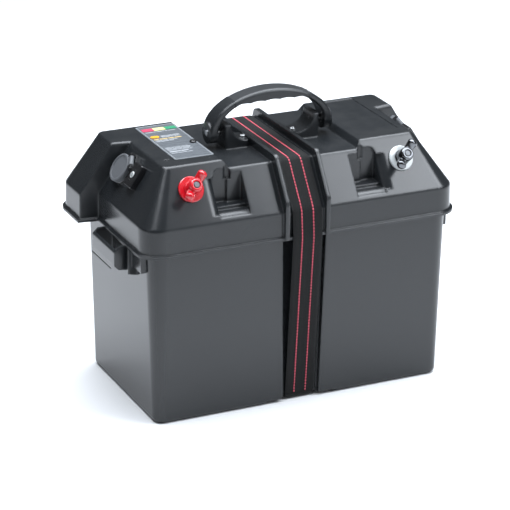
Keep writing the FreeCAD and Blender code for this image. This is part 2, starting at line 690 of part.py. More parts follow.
def front_frame(x, down, lift=0.0):
    """A place on the front slope: local Z out of it, local Y up it, local X along +X."""
    length = math.hypot(FRONT_RUN, SLOPE_DROP)
    up = Vector(0, FRONT_RUN, SLOPE_DROP) / length
    out = Vector(0, -SLOPE_DROP, FRONT_RUN) / length
    top = Vector(x, -size["crown_front"], size["block_height"])
    return Placement(top - up * down + out * lift, Rotation(Vector(1, 0, 0), up, out, "ZXY"))


def end_frame(side, y, down, lift=0.0, turn=0.0):
    """A place on an end slope, side -1 or 1: local Z out of it, local Y up it."""
    length = math.hypot(END_RUN, SLOPE_DROP)
    up = Vector(-side * END_RUN, 0, SLOPE_DROP) / length
    out = Vector(side * SLOPE_DROP, 0, END_RUN) / length
    top = Vector(side * CROWN_HALF, y, size["block_height"])
    flat = Placement(top - up * down + out * lift, Rotation(up.cross(out), up, out, "ZXY"))
    return flat.multiply(Placement(Vector(), Rotation(Vector(0, 0, 1), turn)))


def rod_at(place, radius, low, high):
    """A cylinder along a frame's Z from low to high."""
    shape = Part.makeCylinder(radius, high - low, Vector(0, 0, low))
    shape.Placement = place.multiply(shape.Placement)
    return shape


def brick_at(place, half_x, half_y, low, high):
    """A box about a frame's Z from low to high."""
    shape = brick(-half_x, half_x, -half_y, half_y, low, high)
    shape.Placement = place.multiply(shape.Placement)
    return shape


def socket_frame(side):
    """Where a 12 V socket sits, its hinge turned up and forwards."""
    return end_frame(side, size["socket_y"], size["socket_down"], 0.0, side * size["socket_turn"])


def breaker_frame(side):
    """Where a breaker sits."""
    return end_frame(side, size["breaker_y"], size["breaker_down"])


def stud_frame(side):
    """Where a terminal stud sits."""
    return front_frame(side * size["stud_x"], size["stud_down"])


def device_holes():
    """Holes through the lid for the sockets, breakers, studs, test button and handle pins."""
    holes = []
    for side in (-1, 1):
        holes.append(rod_at(socket_frame(side), size["socket_barrel"] + 0.1, -12, 12))
        holes.append(brick_at(breaker_frame(side), size["breaker_wide"] / 2 - 1.9,
                              size["breaker_long"] / 2 - 1.9, -12, 12))
        holes.append(rod_at(stud_frame(side), size["stud_radius"] + 0.1, -12, 12))
        pin_start = size["boss_outer"] - size["pivot_bite"] - 0.3
        holes.append(Part.makeCylinder(size["pivot_radius"] + size["pivot_gap"], 40,
                                       Vector(side * pin_start, 0, PIVOT_Z), Vector(side, 0, 0)))
        holes.append(Part.makeCylinder(1.6, 12, Vector(side * screw_x(), 0, screw_z() - 12)))
        holes.append(Part.makeCylinder(4.0, 6, Vector(side * screw_x(), 0, screw_z())))
    holes.append(Part.makeCylinder(size["test_radius"] + 1.0, 20,
                                   Vector(size["test_x"], size["test_y"],
                                          size["block_height"] - 10)))
    return holes


def screw_x():
    """Place of the small screw in a boss's scoop."""
    return size["boss_outer"] - 7.0 - size["scoop_radius"]


def screw_z():
    """Seat of the small screw's head."""
    return size["deck_height"] + size["boss_step"]


def block_recesses():
    """Shallow recesses on the blocks: one for the meter panel, one left blank, and a slot."""
    top = size["block_height"]
    depth = size["recess_depth"]
    recesses = []
    for x, width, length in (
            (size["label_x"], size["label_width"] + 0.6, size["label_length"] + 0.6),
            (size["blank_x"], size["blank_width"], size["blank_length"])):
        y = size["label_y"]
        recess = brick(x - width / 2, x + width / 2, y - length / 2, y + length / 2,
                       top - depth, top + 5)
        recesses.append(round_where(recess, 3.0, lambda edge: along(edge, Vector(0, 0, 1))))
    slot_x = size["label_x"] - size["label_width"] / 2 - 9
    recesses.append(brick(slot_x - 3, slot_x + 3, size["label_y"] - size["label_length"] / 2 + 2,
                          size["label_y"] - size["label_length"] / 2 + 5, top - 2, top + 5))
    return recesses


def seat_ribs():
    """Short ribs inside the skirt that stand on the tub's top edge."""
    seat = size["tub_height"] + 0.1
    side = SKIRT_HALF - size["lid_wall"] / 2
    end = LID_HALF - size["lid_wall"] / 2
    inner_side = size["tub_width_high"] / 2 - size["tub_wall"] - 2
    inner_end = size["tub_length_high"] / 2 - size["tub_wall"] - 2
    ribs = []
    for x in (-150, -60, 60, 150):
        ribs.append(brick(x - 1.5, x + 1.5, -side, -inner_side, seat, SHOULDER))
        ribs.append(brick(x - 1.5, x + 1.5, inner_side, side, seat, SHOULDER))
    for y in (-65, 15):
        ribs.append(brick(inner_end, end, y - 1.5, y + 1.5, seat, SHOULDER))
        ribs.append(brick(-end, -inner_end, y - 1.5, y + 1.5, seat, SHOULDER))
    return ribs


def meter_posts():
    """Posts under the left block that carry the meter's board."""
    top = size["block_height"] - size["lid_wall"] + 1
    posts = []
    for x in (-1, 1):
        for y in (-1, 1):
            place = Vector(size["label_x"] + x * board_half_x(), board_y() + y * board_half_y(),
                           board_top())
            posts.append(Part.makeCylinder(2.5, top - board_top(), place))
    return posts


def board_top():
    """Upper face of the meter's board."""
    return size["block_height"] - size["lid_wall"] - 8


def board_half_x():
    """Half spacing of the board's posts along X."""
    return size["label_width"] / 2 - 6


def board_half_y():
    """Half spacing of the board's posts along Y."""
    return size["label_length"] / 4 - 3


def board_y():
    """Middle of the meter's board."""
    return size["label_y"]


def make_lid():
    """The lid: skirt, flange, slopes, blocks, piers, pockets, strap guides and bosses."""
    top = size["block_height"]
    deck = size["deck_height"]
    wall = size["lid_wall"]
    outer = with_piers(0, 0, size["rim_height"]).cut(deck_space(0)).removeSplitter()

    def heights(edge):
        return [vertex.Z for vertex in edge.Vertexes]

    def pier_wall(edge):
        """On a pier's front wall, outside the crown and off the top."""
        for vertex in edge.Vertexes:
            wall_y = size["pier_front"] + (abs(vertex.X) - CROWN_HALF) * size["pier_draft"]
            if abs(vertex.Y - wall_y) > 0.01:
                return False
        return abs(edge.Vertexes[0].Z - edge.Vertexes[-1].Z) > 1

    def deck_edge(edge):
        return (max(heights(edge)) < deck + 0.01 and min(heights(edge)) > deck - 0.01
                and abs(edge.Vertexes[0].X - edge.Vertexes[-1].X) > 50)

    outer = round_where(outer, 4.0, lambda edge: min(heights(edge)) > top - 0.01)
    outer = round_where(outer, 4.0, deck_edge)
    outer = round_where(outer, 4.0, lambda edge: abs(min(heights(edge)) - SHOULDER) < 0.01
                        and max(heights(edge)) < SHOULDER + 0.01)
    outer = outer.fuse([rim_flange(), strap_guide(), mirrored_x(strap_guide()),
                        handle_boss(), mirrored_x(handle_boss())])
    inner = with_piers(wall, wall, size["rim_height"] - 1)
    inner = inner.cut([deck_space(wall), pocket_space(wall), mirrored_x(pocket_space(wall))]
                      + seat_ribs() + meter_posts())
    openings = [pocket_space(0), mirrored_x(pocket_space(0)), pocket_lip(),
                mirrored_x(pocket_lip())]
    shell = outer.cut(openings).cut(inner)
    shell = shell.cut(device_holes() + block_recesses())
    return keep(shaped("lid", shell.removeSplitter()), "lid")


# ---------------------------------------------------------------- strap and buckle

def band(points, half_width):
    """Webbing along a route in the YZ plane, square at its turns."""
    thick = size["strap_thick"] / 2
    count = len(points)
    left = []
    right = []
    for index, (y, z) in enumerate(points):
        before = points[max(index - 1, 0)]
        after = points[min(index + 1, count - 1)]
        here = Vector(y, z, 0)
        ahead = (Vector(*after, 0) - here) if index < count - 1 else (here - Vector(*before, 0))
        behind = (here - Vector(*before, 0)) if index > 0 else ahead
        ahead.normalize()
        behind.normalize()
        side = Vector(-ahead.y - behind.y, ahead.x + behind.x, 0)
        side.normalize()
        reach = thick / side.dot(Vector(-ahead.y, ahead.x, 0))
        left.append(here + side * reach)
        right.append(here - side * reach)
    ring = left + right[::-1]
    return prism([(-half_width, place.x, place.y) for place in ring], (2 * half_width, 0, 0))


def strap_offset():
    """Webbing's middle line from the surface it lies on."""
    return size["strap_gap"] + size["strap_thick"] / 2


def make_straps():
    """The strap: the run over the lid, which ends in the buckle, and the run under the tub."""
    off = strap_offset()
    run = FLANGE_FACE + off
    rim = size["rim_height"]
    front_slope = FRONT_RUN / SLOPE_DROP
    back_slope = BACK_RUN / SLOPE_DROP
    deck = size["deck_height"]
    above = size["block_height"] - deck
    front_edge = size["crown_front"] + above * front_slope + off * 0.6
    back_edge = size["crown_back"] + above * back_slope + off * 0.8
    shoulder = SKIRT_HALF + off + 1.0
    low = CHANNEL_FLOOR + off + 1.0
    split = 8.0
    upper = [(-low, split), (-run, rim - 2), (-run, rim + size["flange_thick"]),
             (-shoulder, SHOULDER + 1), (-front_edge, deck + off), (back_edge, deck + off),
             (shoulder, SHOULDER + 1), (run, rim + size["flange_thick"]),
             (run, size["buckle_height"] - 62)]
    under = size["groove_depth"] - off
    behind = CHANNEL_FLOOR + off
    buckle_low = size["buckle_height"] - size["buckle_tall"] / 2
    lower = [(-low, split - 0.3), (-low, under), (behind, under), (behind, buckle_low - 6),
             (run - 7.5, buckle_low + 2)]
    keep(shaped("strap_upper", band(upper, STRAP_HALF)), "strap_upper")
    keep(shaped("strap_lower", band(lower, STRAP_HALF)), "strap_lower")


def make_buckle():
    """The cam buckle: side plates, anvil, bottom bar, pin and a lever that turns on it."""
    run = FLANGE_FACE + strap_offset()
    sheet_run = ("(sizes.lid_width / 2 + sizes.lid_draft + sizes.flange_out + sizes.strap_gap"
                 " + sizes.strap_thick / 2)")
    low = "sizes.buckle_height - sizes.buckle_tall / 2"
    plates = []
    for name, x in (("left", "-sizes.buckle_half"), ("right", "sizes.buckle_half - sizes.buckle_plate")):
        plates.append(block("buckle_plate_" + name, "sizes.buckle_plate", "18",
                            "sizes.buckle_tall", x, sheet_run + " - 9", low))
    anvil = block("buckle_anvil", "2 * sizes.buckle_half - 1", "3.2", "24",
                  "-sizes.buckle_half + 0.5", sheet_run + " - 5", low + " + 10")
    bar = rod("buckle_bar", "2.5", "2 * sizes.buckle_half - 1", "-sizes.buckle_half + 0.5",
              sheet_run + " - 5", low + " + 3")
    bar.Placement.Rotation = Rotation(Vector(0, 1, 0), 90)
    frame = joined("buckle_frame_solid", plates + [anvil, bar])
    pin_y = run + 7.2
    pin_z = size["buckle_height"] + 8
    bore = shaped("buckle_bore", Part.makeCylinder(2.06, 60, Vector(-30, pin_y, pin_z),
                                                   Vector(1, 0, 0)))
    keep(cut("buckle_frame", frame, bore), "buckle_frame")
    pin = Part.makeCylinder(2.0, 2 * size["buckle_half"] + 2,
                            Vector(-size["buckle_half"] - 1, pin_y, pin_z), Vector(1, 0, 0))
    for side in (-1, 1):
        head = Part.makeCylinder(3.2, 1.2, Vector(side * (size["buckle_half"] + 0.05), pin_y, pin_z),
                                 Vector(side, 0, 0))
        pin = pin.fuse(head)
    keep(shaped("buckle_pin", pin.removeSplitter()), "buckle_pin")
    half = STRAP_HALF - 0.5
    hub = Part.makeCylinder(5.0, 2 * half, Vector(-half, pin_y, pin_z), Vector(1, 0, 0))
    plate = prism([(-half, pin_y - 1.5, pin_z), (-half, pin_y + 4.2, pin_z + 2),
                   (-half, pin_y + 3.4, pin_z - size["lever_length"] + 6),
                   (-half, pin_y + 7.0, pin_z - size["lever_length"]),
                   (-half, pin_y + 4.6, pin_z - size["lever_length"]),
                   (-half, pin_y + 0.4, pin_z - size["lever_length"] + 6)], (2 * half, 0, 0))
    nose = prism([(-half, pin_y - 5.6, pin_z - 0.6), (-half, pin_y - 5.6, pin_z + 0.6),
                  (-half, pin_y - 2, pin_z + 4), (-half, pin_y - 2, pin_z - 4)], (2 * half, 0, 0))
    lever = hub.fuse([plate, nose])
    lever = lever.cut(Part.makeCylinder(2.06, 60, Vector(-30, pin_y, pin_z), Vector(1, 0, 0)))
    keep(shaped("buckle_lever", lever.removeSplitter()), "buckle_lever")
    return pin_y, pin_z


# ---------------------------------------------------------------- handle

def half_ellipse(half, rise):
    """An arc over the pivots from right to left, in the XZ plane."""
    curve = Part.ArcOfEllipse(Part.Ellipse(Vector(0, 0, 0), half, rise), 0, math.pi)
    return curve.toShape()


def stood_up(face, width):
    """A face drawn about the pivots' middle, given its width along Y and stood upright."""
    solid = face.extrude(Vector(0, 0, width))
    solid.Placement = Placement(Vector(0, width / 2, PIVOT_Z), Rotation(Vector(1, 0, 0), 90))
    return solid


def arch(outer_half, outer_rise, inner_half, inner_rise, width):
    """A band between two half ellipses."""
    foot_right = Part.LineSegment(Vector(inner_half, 0, 0), Vector(outer_half, 0, 0)).toShape()
    foot_left = Part.LineSegment(Vector(-outer_half, 0, 0), Vector(-inner_half, 0, 0)).toShape()
    wire = Part.Wire(Part.__sortEdges__([half_ellipse(outer_half, outer_rise), foot_left,
                                         half_ellipse(inner_half, inner_rise), foot_right]))
    return stood_up(Part.Face(wire), width)


def grip_form():
    """The soft grip's outside: flush on top, five finger scallops below."""
    half = size["grip_half"]
    rise = size["handle_rise"]
    angle = math.acos(half / size["handle_half"])
    curve = Part.Ellipse(Vector(0, 0, 0), size["handle_half"], rise)
    crown = Part.ArcOfEllipse(curve, angle, math.pi - angle)
    right_top = crown.value(crown.FirstParameter)
    left_top = crown.value(crown.LastParameter)
    low = rise - size["grip_thick"] + 0.5
    fingers = 5
    pitch = 2 * half / fingers
    edges = [crown.toShape()]
    ridges = []
    for index in range(fingers + 1):
        x = -half + index * pitch
        ridges.append(Vector(x, low + 1.8 * (1 - (x / half) ** 2), 0))
    edges.append(Part.LineSegment(left_top, ridges[0]).toShape())
    for start, end in zip(ridges, ridges[1:]):
        middle = (start + end) / 2 + Vector(0, 1.3, 0)
        edges.append(Part.Arc(start, middle, end).toShape())
    edges.append(Part.LineSegment(ridges[-1], right_top).toShape())
    width = size["handle_width"] + 1.0
    form = stood_up(Part.Face(Part.Wire(Part.__sortEdges__(edges))), width)

    def long_edge(edge):
        flat = all(abs(abs(vertex.Y) - width / 2) < 0.01 for vertex in edge.Vertexes)
        return flat and abs(edge.Vertexes[0].X - edge.Vertexes[-1].X) > 2 * half - 1
    return round_where(form, 4.5, long_edge)


def make_handle():
    """The handle: arched core with ears, a soft grip moulded round it, and pivot pins."""
    skin = size["grip_skin"]
    width = size["handle_width"]
    half_out = size["handle_half"]
    half_in = half_out - size["handle_leg"]
    rise = size["handle_rise"]
    rise_in = rise - size["handle_core"]
    full = arch(half_out, rise, half_in, rise_in, width)

    def arc_edge(edge):
        return (not isinstance(edge.Curve, Part.Line)
                and all(abs(abs(vertex.Y) - width / 2) < 0.01 for vertex in edge.Vertexes))
    full = round_where(full, 2.5, arc_edge)
    thin = arch(half_out - skin, rise - skin, half_in, rise_in, width - 2 * skin)
    zone = brick(-size["grip_half"], size["grip_half"], -width, width, PIVOT_Z, PIVOT_Z + 2 * rise)
    core = full.cut(zone).fuse(thin.common(zone))
    ears = []
    holes = []
    pins = []
    for side in (-1, 1):
        start = Vector(side * half_in, 0, PIVOT_Z)
        ear = Part.makeCylinder(size["ear_radius"], half_out - half_in, start, Vector(side, 0, 0))
        ears.append(ear)
        holes.append(Part.makeCylinder(size["pivot_radius"] + 0.03, 40, start - Vector(side * 5, 0, 0),
                                       Vector(side, 0, 0)))
        pin_start = size["boss_outer"] - size["pivot_bite"]
        pin = Part.makeCylinder(size["pivot_radius"], half_out + 0.6 - pin_start,
                                Vector(side * pin_start, 0, PIVOT_Z), Vector(side, 0, 0))
        pins.append(pin)
    core = core.fuse(ears).cut(holes)
    keep(shaped("handle_core", core.removeSplitter()), "handle_core")
    keep(shaped("handle_grip", grip_form().cut(thin).removeSplitter()), "handle_grip")
    keep(shaped("handle_pins", Part.makeCompound(pins)), "handle_pins")


def make_screws():
    """Pan-head screws in the boss scoops."""
    screws = []
    for side in (-1, 1):
        base = Vector(side * screw_x(), 0, screw_z())
        head = Part.makeCylinder(3.6, 2.2, base)
        head = round_where(head, 1.4, lambda edge: edge.Vertexes[0].Z > screw_z() + 2
                           and isinstance(edge.Curve, Part.Circle))
        slot = brick(-0.5, 0.5, -2.6, 2.6, 1.2, 4)
        cross = brick(-2.6, 2.6, -0.5, 0.5, 1.2, 4)
        slot.translate(base)
        cross.translate(base)
        shank = Part.makeCylinder(1.5, 9, base - Vector(0, 0, 9))
        screws.append(head.cut([slot, cross]).fuse(shank).removeSplitter())
    keep(shaped("boss_screws", Part.makeCompound(screws)), "boss_screws")


# ---------------------------------------------------------------- terminals

def make_terminals():
    """Studs, pads, washers, inner nuts and lugs in the lid, and the wing nuts outside."""
    groups = {"terminal_washers": [], "terminal_nuts": [], "terminal_lugs": []}
    wall = size["lid_wall"]
    for side, sign, colour in ((-1, "positive", "red"), (1, "negative", "black")):
        place = stud_frame(side)
        stud = turned("stud_" + sign, [
            ("0", "-sizes.stud_in"), ("sizes.stud_radius", "-sizes.stud_in"),
            ("sizes.stud_radius", "-sizes.lid_wall - 2.6"), ("9", "-sizes.lid_wall - 2.6"),
            ("9", "-sizes.lid_wall - 0.1"), ("sizes.stud_radius", "-sizes.lid_wall - 0.1"),
            ("sizes.stud_radius", "sizes.pad_thick + sizes.hub_height + 0.6"),
            ("sizes.stud_radius - 0.5", "sizes.pad_thick + sizes.hub_height + 0.8"),
            ("sizes.stud_radius - 0.5", "sizes.pad_thick + sizes.hub_height + 1.4"),
            ("sizes.stud_radius", "sizes.pad_thick + sizes.hub_height + 1.6"),
            ("sizes.stud_radius", "sizes.stud_out - 1"),
            ("sizes.stud_radius - 1", "sizes.stud_out"), ("0", "sizes.stud_out")])
        stud.Placement = place
        keep(stud, "stud_" + sign)
        pad = turned("pad_" + sign, [
            ("sizes.stud_radius + 0.2", "0.05"), ("sizes.pad_radius", "0.05"),
            ("sizes.pad_radius", "sizes.pad_thick - 1"),
            ("sizes.pad_radius - 1", "sizes.pad_thick"),
            ("sizes.stud_radius + 0.2", "sizes.pad_thick")])
        pad.Placement = place
        keep(pad, "pad_" + sign)
        nut = turned("wing_nut_" + colour, [
            ("sizes.stud_radius + sizes.nut_gap", "sizes.pad_thick + 0.4"),
            ("sizes.hub_radius", "sizes.pad_thick + 0.4"),
            ("sizes.hub_radius - 1.2", "sizes.pad_thick + sizes.hub_height"),
            ("sizes.stud_radius + sizes.nut_gap", "sizes.pad_thick + sizes.hub_height")])
        for way in ("", "-"):
            sketch = outline(nut, "XZ_Plane", [
                (way + "(sizes.hub_radius - 1.8)", "sizes.pad_thick + 1"),
                (way + "(sizes.hub_radius + 3)", "sizes.pad_thick + 2"),
                (way + "sizes.wing_span", "sizes.pad_thick + sizes.wing_rise - 7"),
                (way + "(sizes.wing_span - 0.6)", "sizes.pad_thick + sizes.wing_rise - 1"),
                (way + "(sizes.wing_span - 5)", "sizes.pad_thick + sizes.wing_rise"),
                (way + "(sizes.hub_radius - 1.8)", "sizes.pad_thick + sizes.hub_height - 1.5")])
            wing = nut.newObject("PartDesign::Pad", nut.Name + "_wing")
            wing.Profile = sketch
            wing.Midplane = True
            wing.Length = size["wing_thick"]
            nut.Tip = wing
            doc.recompute()
        rounded(nut, "0.9", lambda edge: along(edge, Vector(0, 1, 0)))
        nut.Placement = place.multiply(
            Placement(Vector(), Rotation(Vector(0, 0, 1), size["wing_rest"])))
        keep(nut, "wing_nut_" + colour)
        low = -wall - 2.7
        lug = Part.makeCylinder(size["lug_radius"], 1.2, Vector(0, 0, low - 1.2))
        lug = lug.fuse(brick(-3.2, 3.2, -size["lug_tail"], -4, low - 1.2, low))
        lug = lug.cut(Part.makeCylinder(size["stud_radius"] + 0.2, 9, Vector(0, 0, low - 5)))
        washer = Part.makeCylinder(size["washer_radius"], 1.0, Vector(0, 0, low - 2.3))
        washer = washer.cut(Part.makeCylinder(size["stud_radius"] + 0.2, 9, Vector(0, 0, low - 8)))
        hex_low = low - 2.4 - size["hex_height"]
        hexagon = [(size["hex_radius"] * math.cos(math.radians(60 * step)),
                    size["hex_radius"] * math.sin(math.radians(60 * step)), hex_low)
                   for step in range(6)]
        hex_nut = prism(hexagon, (0, 0, size["hex_height"]))
        hex_nut = hex_nut.cut(Part.makeCylinder(size["stud_radius"] + 0.05, 30, Vector(0, 0, -30)))
        for name, shape in (("terminal_lugs", lug), ("terminal_washers", washer),
                            ("terminal_nuts", hex_nut)):
            shape.Placement = place
            groups[name].append(shape)
    for name, shapes in groups.items():
        keep(shaped(name, Part.makeCompound(shapes)), name)


# ---------------------------------------------------------------- sockets and breakers

def make_sockets():
    """12 V sockets with hinged caps, their ring nuts, contacts and hinge pins."""
    contacts = []
    rings = []
    pins = []
    wall = size["lid_wall"]
    half_hinge = size["hinge_length"] / 2
    hinge_z = size["socket_collar"] + size["hinge_rise"]
    hinge_rise = "sizes.socket_collar + sizes.hinge_rise"
    face = "sizes.socket_collar"
    floor = "-sizes.socket_deep"
    end = "-sizes.socket_deep - sizes.socket_base"
    across = Rotation(Vector(0, 1, 0), 90)
    for side, name in ((-1, "left"), (1, "right")):
        place = socket_frame(side)
        shell = turned("socket_shell_" + name, [
            ("0", end), ("sizes.socket_barrel", end), ("sizes.socket_barrel", "0.05"),
            ("sizes.socket_flange", "0.05"), ("sizes.socket_flange", face + " - 0.8"),
            ("sizes.socket_flange - 0.8", face), ("sizes.mouth_radius", face),
            ("sizes.mouth_radius", face + " - sizes.mouth_depth"),
            ("sizes.socket_bore", face + " - sizes.mouth_depth"), ("sizes.socket_bore", floor),
            ("sizes.contact_hole", floor), ("sizes.contact_hole", floor + " - sizes.contact_deep"),
            ("0", floor + " - sizes.contact_deep")])
        ears = []
        for ear, x in (("a", "-sizes.hinge_length / 2"),
                       ("b", "sizes.hinge_length / 2 - sizes.ear_thick")):
            ears.append(block("socket_ear_%s_%s" % (name, ear), "sizes.ear_thick",
                              "sizes.ear_deep", face + " + sizes.ear_rise", x,
                              "sizes.cap_reach - sizes.ear_deep / 2", "0.05"))
        ears.append(block("socket_ear_base_" + name, "sizes.hinge_length", "11", face + " - 0.5",
                          "-sizes.hinge_length / 2", "sizes.cap_reach - 7.8", "0.05"))
        bore = rod("socket_pin_bore_" + name, "sizes.cap_pin + 0.02", "30", "-15",
                   "sizes.cap_reach", hinge_rise)
        bore.Placement.Rotation = across
        socket = cut("socket_" + name, joined("socket_solid_" + name, [shell] + ears), bore)
        socket.Placement = place
        keep(socket, "socket_" + name)
        disc = rod("cap_disc_" + name, "sizes.socket_flange - 0.4", "sizes.cap_thick",
                   z=face + " + sizes.cap_gap")
        spigot = rod("cap_spigot_" + name, "sizes.socket_bore - sizes.spigot_slack",
                     "sizes.spigot_depth + sizes.cap_gap + 0.1", z=face + " - sizes.spigot_depth")
        neck = block("cap_neck_" + name, "sizes.knuckle_half * 2", "7", "4.6",
                     "-sizes.knuckle_half", "sizes.cap_reach - 7", face + " + 0.7")
        knuckle = rod("cap_knuckle_" + name, "sizes.knuckle_radius", "sizes.knuckle_half * 2",
                      "-sizes.knuckle_half", "sizes.cap_reach", hinge_rise)
        knuckle.Placement.Rotation = across
        hole = rod("cap_pin_bore_" + name, "sizes.cap_pin + sizes.pivot_gap", "30", "-15",
                   "sizes.cap_reach", hinge_rise)
        hole.Placement.Rotation = across
        cap = cut("socket_cap_" + name,
                  joined("cap_solid_" + name, [disc, spigot, neck, knuckle]), hole)
        cap.Placement = place
        keep(cap, "socket_cap_" + name)
        contact_end = -size["socket_deep"] - size["contact_deep"] + 0.05
        contact = Part.makeCylinder(size["contact_radius"], size["contact_deep"] - 0.3,
                                    Vector(0, 0, contact_end))
        contact = round_where(contact, 1.5, lambda edge: isinstance(edge.Curve, Part.Circle)
                              and edge.Vertexes[0].Z > -2 - size["socket_deep"])
        ring_low = -wall - size["ring_thick"] - 0.1
        ring = Part.makeCylinder(size["socket_barrel"] + size["ring_reach"], size["ring_thick"],
                                 Vector(0, 0, ring_low))
        ring = ring.cut(Part.makeCylinder(size["socket_barrel"] + 0.05, size["ring_thick"] * 3,
                                          Vector(0, 0, ring_low - size["ring_thick"])))
        pin = Part.makeCylinder(size["cap_pin"], size["hinge_length"],
                                Vector(-half_hinge, size["cap_reach"], hinge_z), Vector(1, 0, 0))
        for shapes, shape in ((contacts, contact), (rings, ring), (pins, pin)):
            shape.Placement = place.multiply(shape.Placement)
            shapes.append(shape)
    keep(shaped("socket_contacts", Part.makeCompound(contacts)), "socket_contacts")
    keep(shaped("socket_rings", Part.makeCompound(rings)), "socket_rings")
    keep(shaped("cap_pins", Part.makeCompound(pins)), "cap_pins")


def make_breakers():
    """Push-to-reset breakers: a raised housing, a body inside the lid and a reset button."""
    for side, name in ((-1, "left"), (1, "right")):
        place = breaker_frame(side)
        body = padded("breaker_shell_" + name, "XY_Plane",
                      box_corners("-sizes.breaker_wide / 2", "sizes.breaker_wide / 2",
                                  "-sizes.breaker_long / 2", "sizes.breaker_long / 2"),
                      "sizes.breaker_proud", "0.05")
        rounded(body, "2", lambda edge: along(edge, Vector(0, 0, 1)))
        rounded(body, "1.2", lambda edge: min(vertex.Z for vertex in edge.Vertexes)
                > size["breaker_proud"] - 0.2)
        inside = block("breaker_inside_" + name, "sizes.breaker_wide - 4", "sizes.breaker_long - 4",
                       "sizes.breaker_deep + 1", "-sizes.breaker_wide / 2 + 2",
                       "-sizes.breaker_long / 2 + 2", "-sizes.breaker_deep")
        bore = rod("breaker_bore_" + name, "sizes.reset_radius + sizes.reset_gap", "40", z="-8")
        breaker = cut("breaker_" + name, joined("breaker_solid_" + name, [body, inside]), bore)
        breaker.Placement = place
        keep(breaker, "breaker_" + name)
        button = turned("reset_button_" + name, [
            ("0", "-7.5"), ("sizes.reset_radius", "-7.5"),
            ("sizes.reset_radius", "sizes.breaker_proud + 0.8"),
            ("sizes.reset_radius - 0.8", "sizes.breaker_proud + 1.6"),
            ("0", "sizes.breaker_proud + 1.8")])
        button.Placement = place
        keep(button, "reset_button_" + name)


# ---------------------------------------------------------------- charge meter

def make_meter():
    """The meter: panel, lit windows, lamp, test button, its spring and the board below."""
    base = "sizes.block_height - sizes.recess_depth + 0.05"
    top = "sizes.block_height - sizes.recess_depth + 0.05 + sizes.label_thick"
    x_low = "sizes.label_x - sizes.label_width / 2"
    panel = padded("meter_plate", "XY_Plane",
                   box_corners(x_low, "sizes.label_x + sizes.label_width / 2",
                               "sizes.label_y - sizes.label_length / 2",
                               "sizes.label_y + sizes.label_length / 2"),
                   "sizes.label_thick", base)
    rounded(panel, "3", lambda edge: along(edge, Vector(0, 0, 1)))
    hole = rod("meter_hole", "sizes.test_radius + 0.3", "20", "sizes.test_x", "sizes.test_y",
               "sizes.block_height - 10")
    keep(cut("meter_panel", panel, hole), "meter_panel")
    bar = "(sizes.label_width - 6) / 3"
    for index, colour in enumerate(("red", "yellow", "green")):
        window = block("window_" + colour, bar + " - 0.4", "9", "0.5",
                       x_low + " + 3.2 + %d * %s" % (index, bar),
                       "sizes.label_y + sizes.label_length / 2 - 20", top + " + 0.02")
        keep(window, "window_" + colour)
    lamp = padded("lamp_amber", "XY_Plane",
                  box_corners(x_low + " + 3", x_low + " + 14",
                              "sizes.label_y + 16", "sizes.label_y + 23"), "0.9", top + " + 0.02")
    rounded(lamp, "3.2", lambda edge: along(edge, Vector(0, 0, 1)))
    keep(lamp, "lamp_amber")
    button = turned("test_button", [
        ("0", "sizes.block_height - sizes.lid_wall - 5"),
        ("sizes.test_radius", "sizes.block_height - sizes.lid_wall - 5"),
        ("sizes.test_radius", "sizes.block_height + 1.8"),
        ("sizes.test_radius - 0.8", "sizes.block_height + 2.6"),
        ("0", "sizes.block_height + 2.6")])
    button.Placement = Placement(Vector(size["test_x"], size["test_y"], 0), Rotation())
    keep(button, "test_button")
    board_z = "sizes.block_height - sizes.lid_wall - 8"
    spring = cut("test_spring",
                 rod("spring_outside", "3", "2.9", "sizes.test_x", "sizes.test_y", board_z + " + 0.05"),
                 rod("spring_inside", "2", "9", "sizes.test_x", "sizes.test_y", board_z + " - 3"))
    keep(spring, "test_spring")
    board = block("meter_board", "sizes.label_width - 4", "sizes.label_length / 2 + 6", "1.6",
                  "sizes.label_x - sizes.label_width / 2 + 2",
                  "sizes.label_y - sizes.label_length / 4 - 3", board_z + " - 1.6")
    keep(board, "meter_board")


make_tub()
make_lid()
make_straps()
make_buckle()
make_handle()
make_screws()
make_terminals()
make_sockets()
make_breakers()
make_meter()
doc.recompute()

for obj in doc.Objects:
    if "Invalid" in obj.State or "Error" in obj.State:
        raise RuntimeError("%s is %s" % (obj.Label, obj.State))
for obj in finished:
    if obj.Shape.isNull() or not obj.Shape.isValid():
        raise RuntimeError(obj.Label + " has a bad shape")

os.makedirs("parts", exist_ok=True)
for obj in finished:
    obj.Shape.exportStep("parts/%s.step" % obj.Label)
    print(obj.Label, len(obj.Shape.Solids), round(obj.Shape.Volume / 1000, 2))
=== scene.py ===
"""Finishes, webbing, fittings and studio for a strapped battery box."""

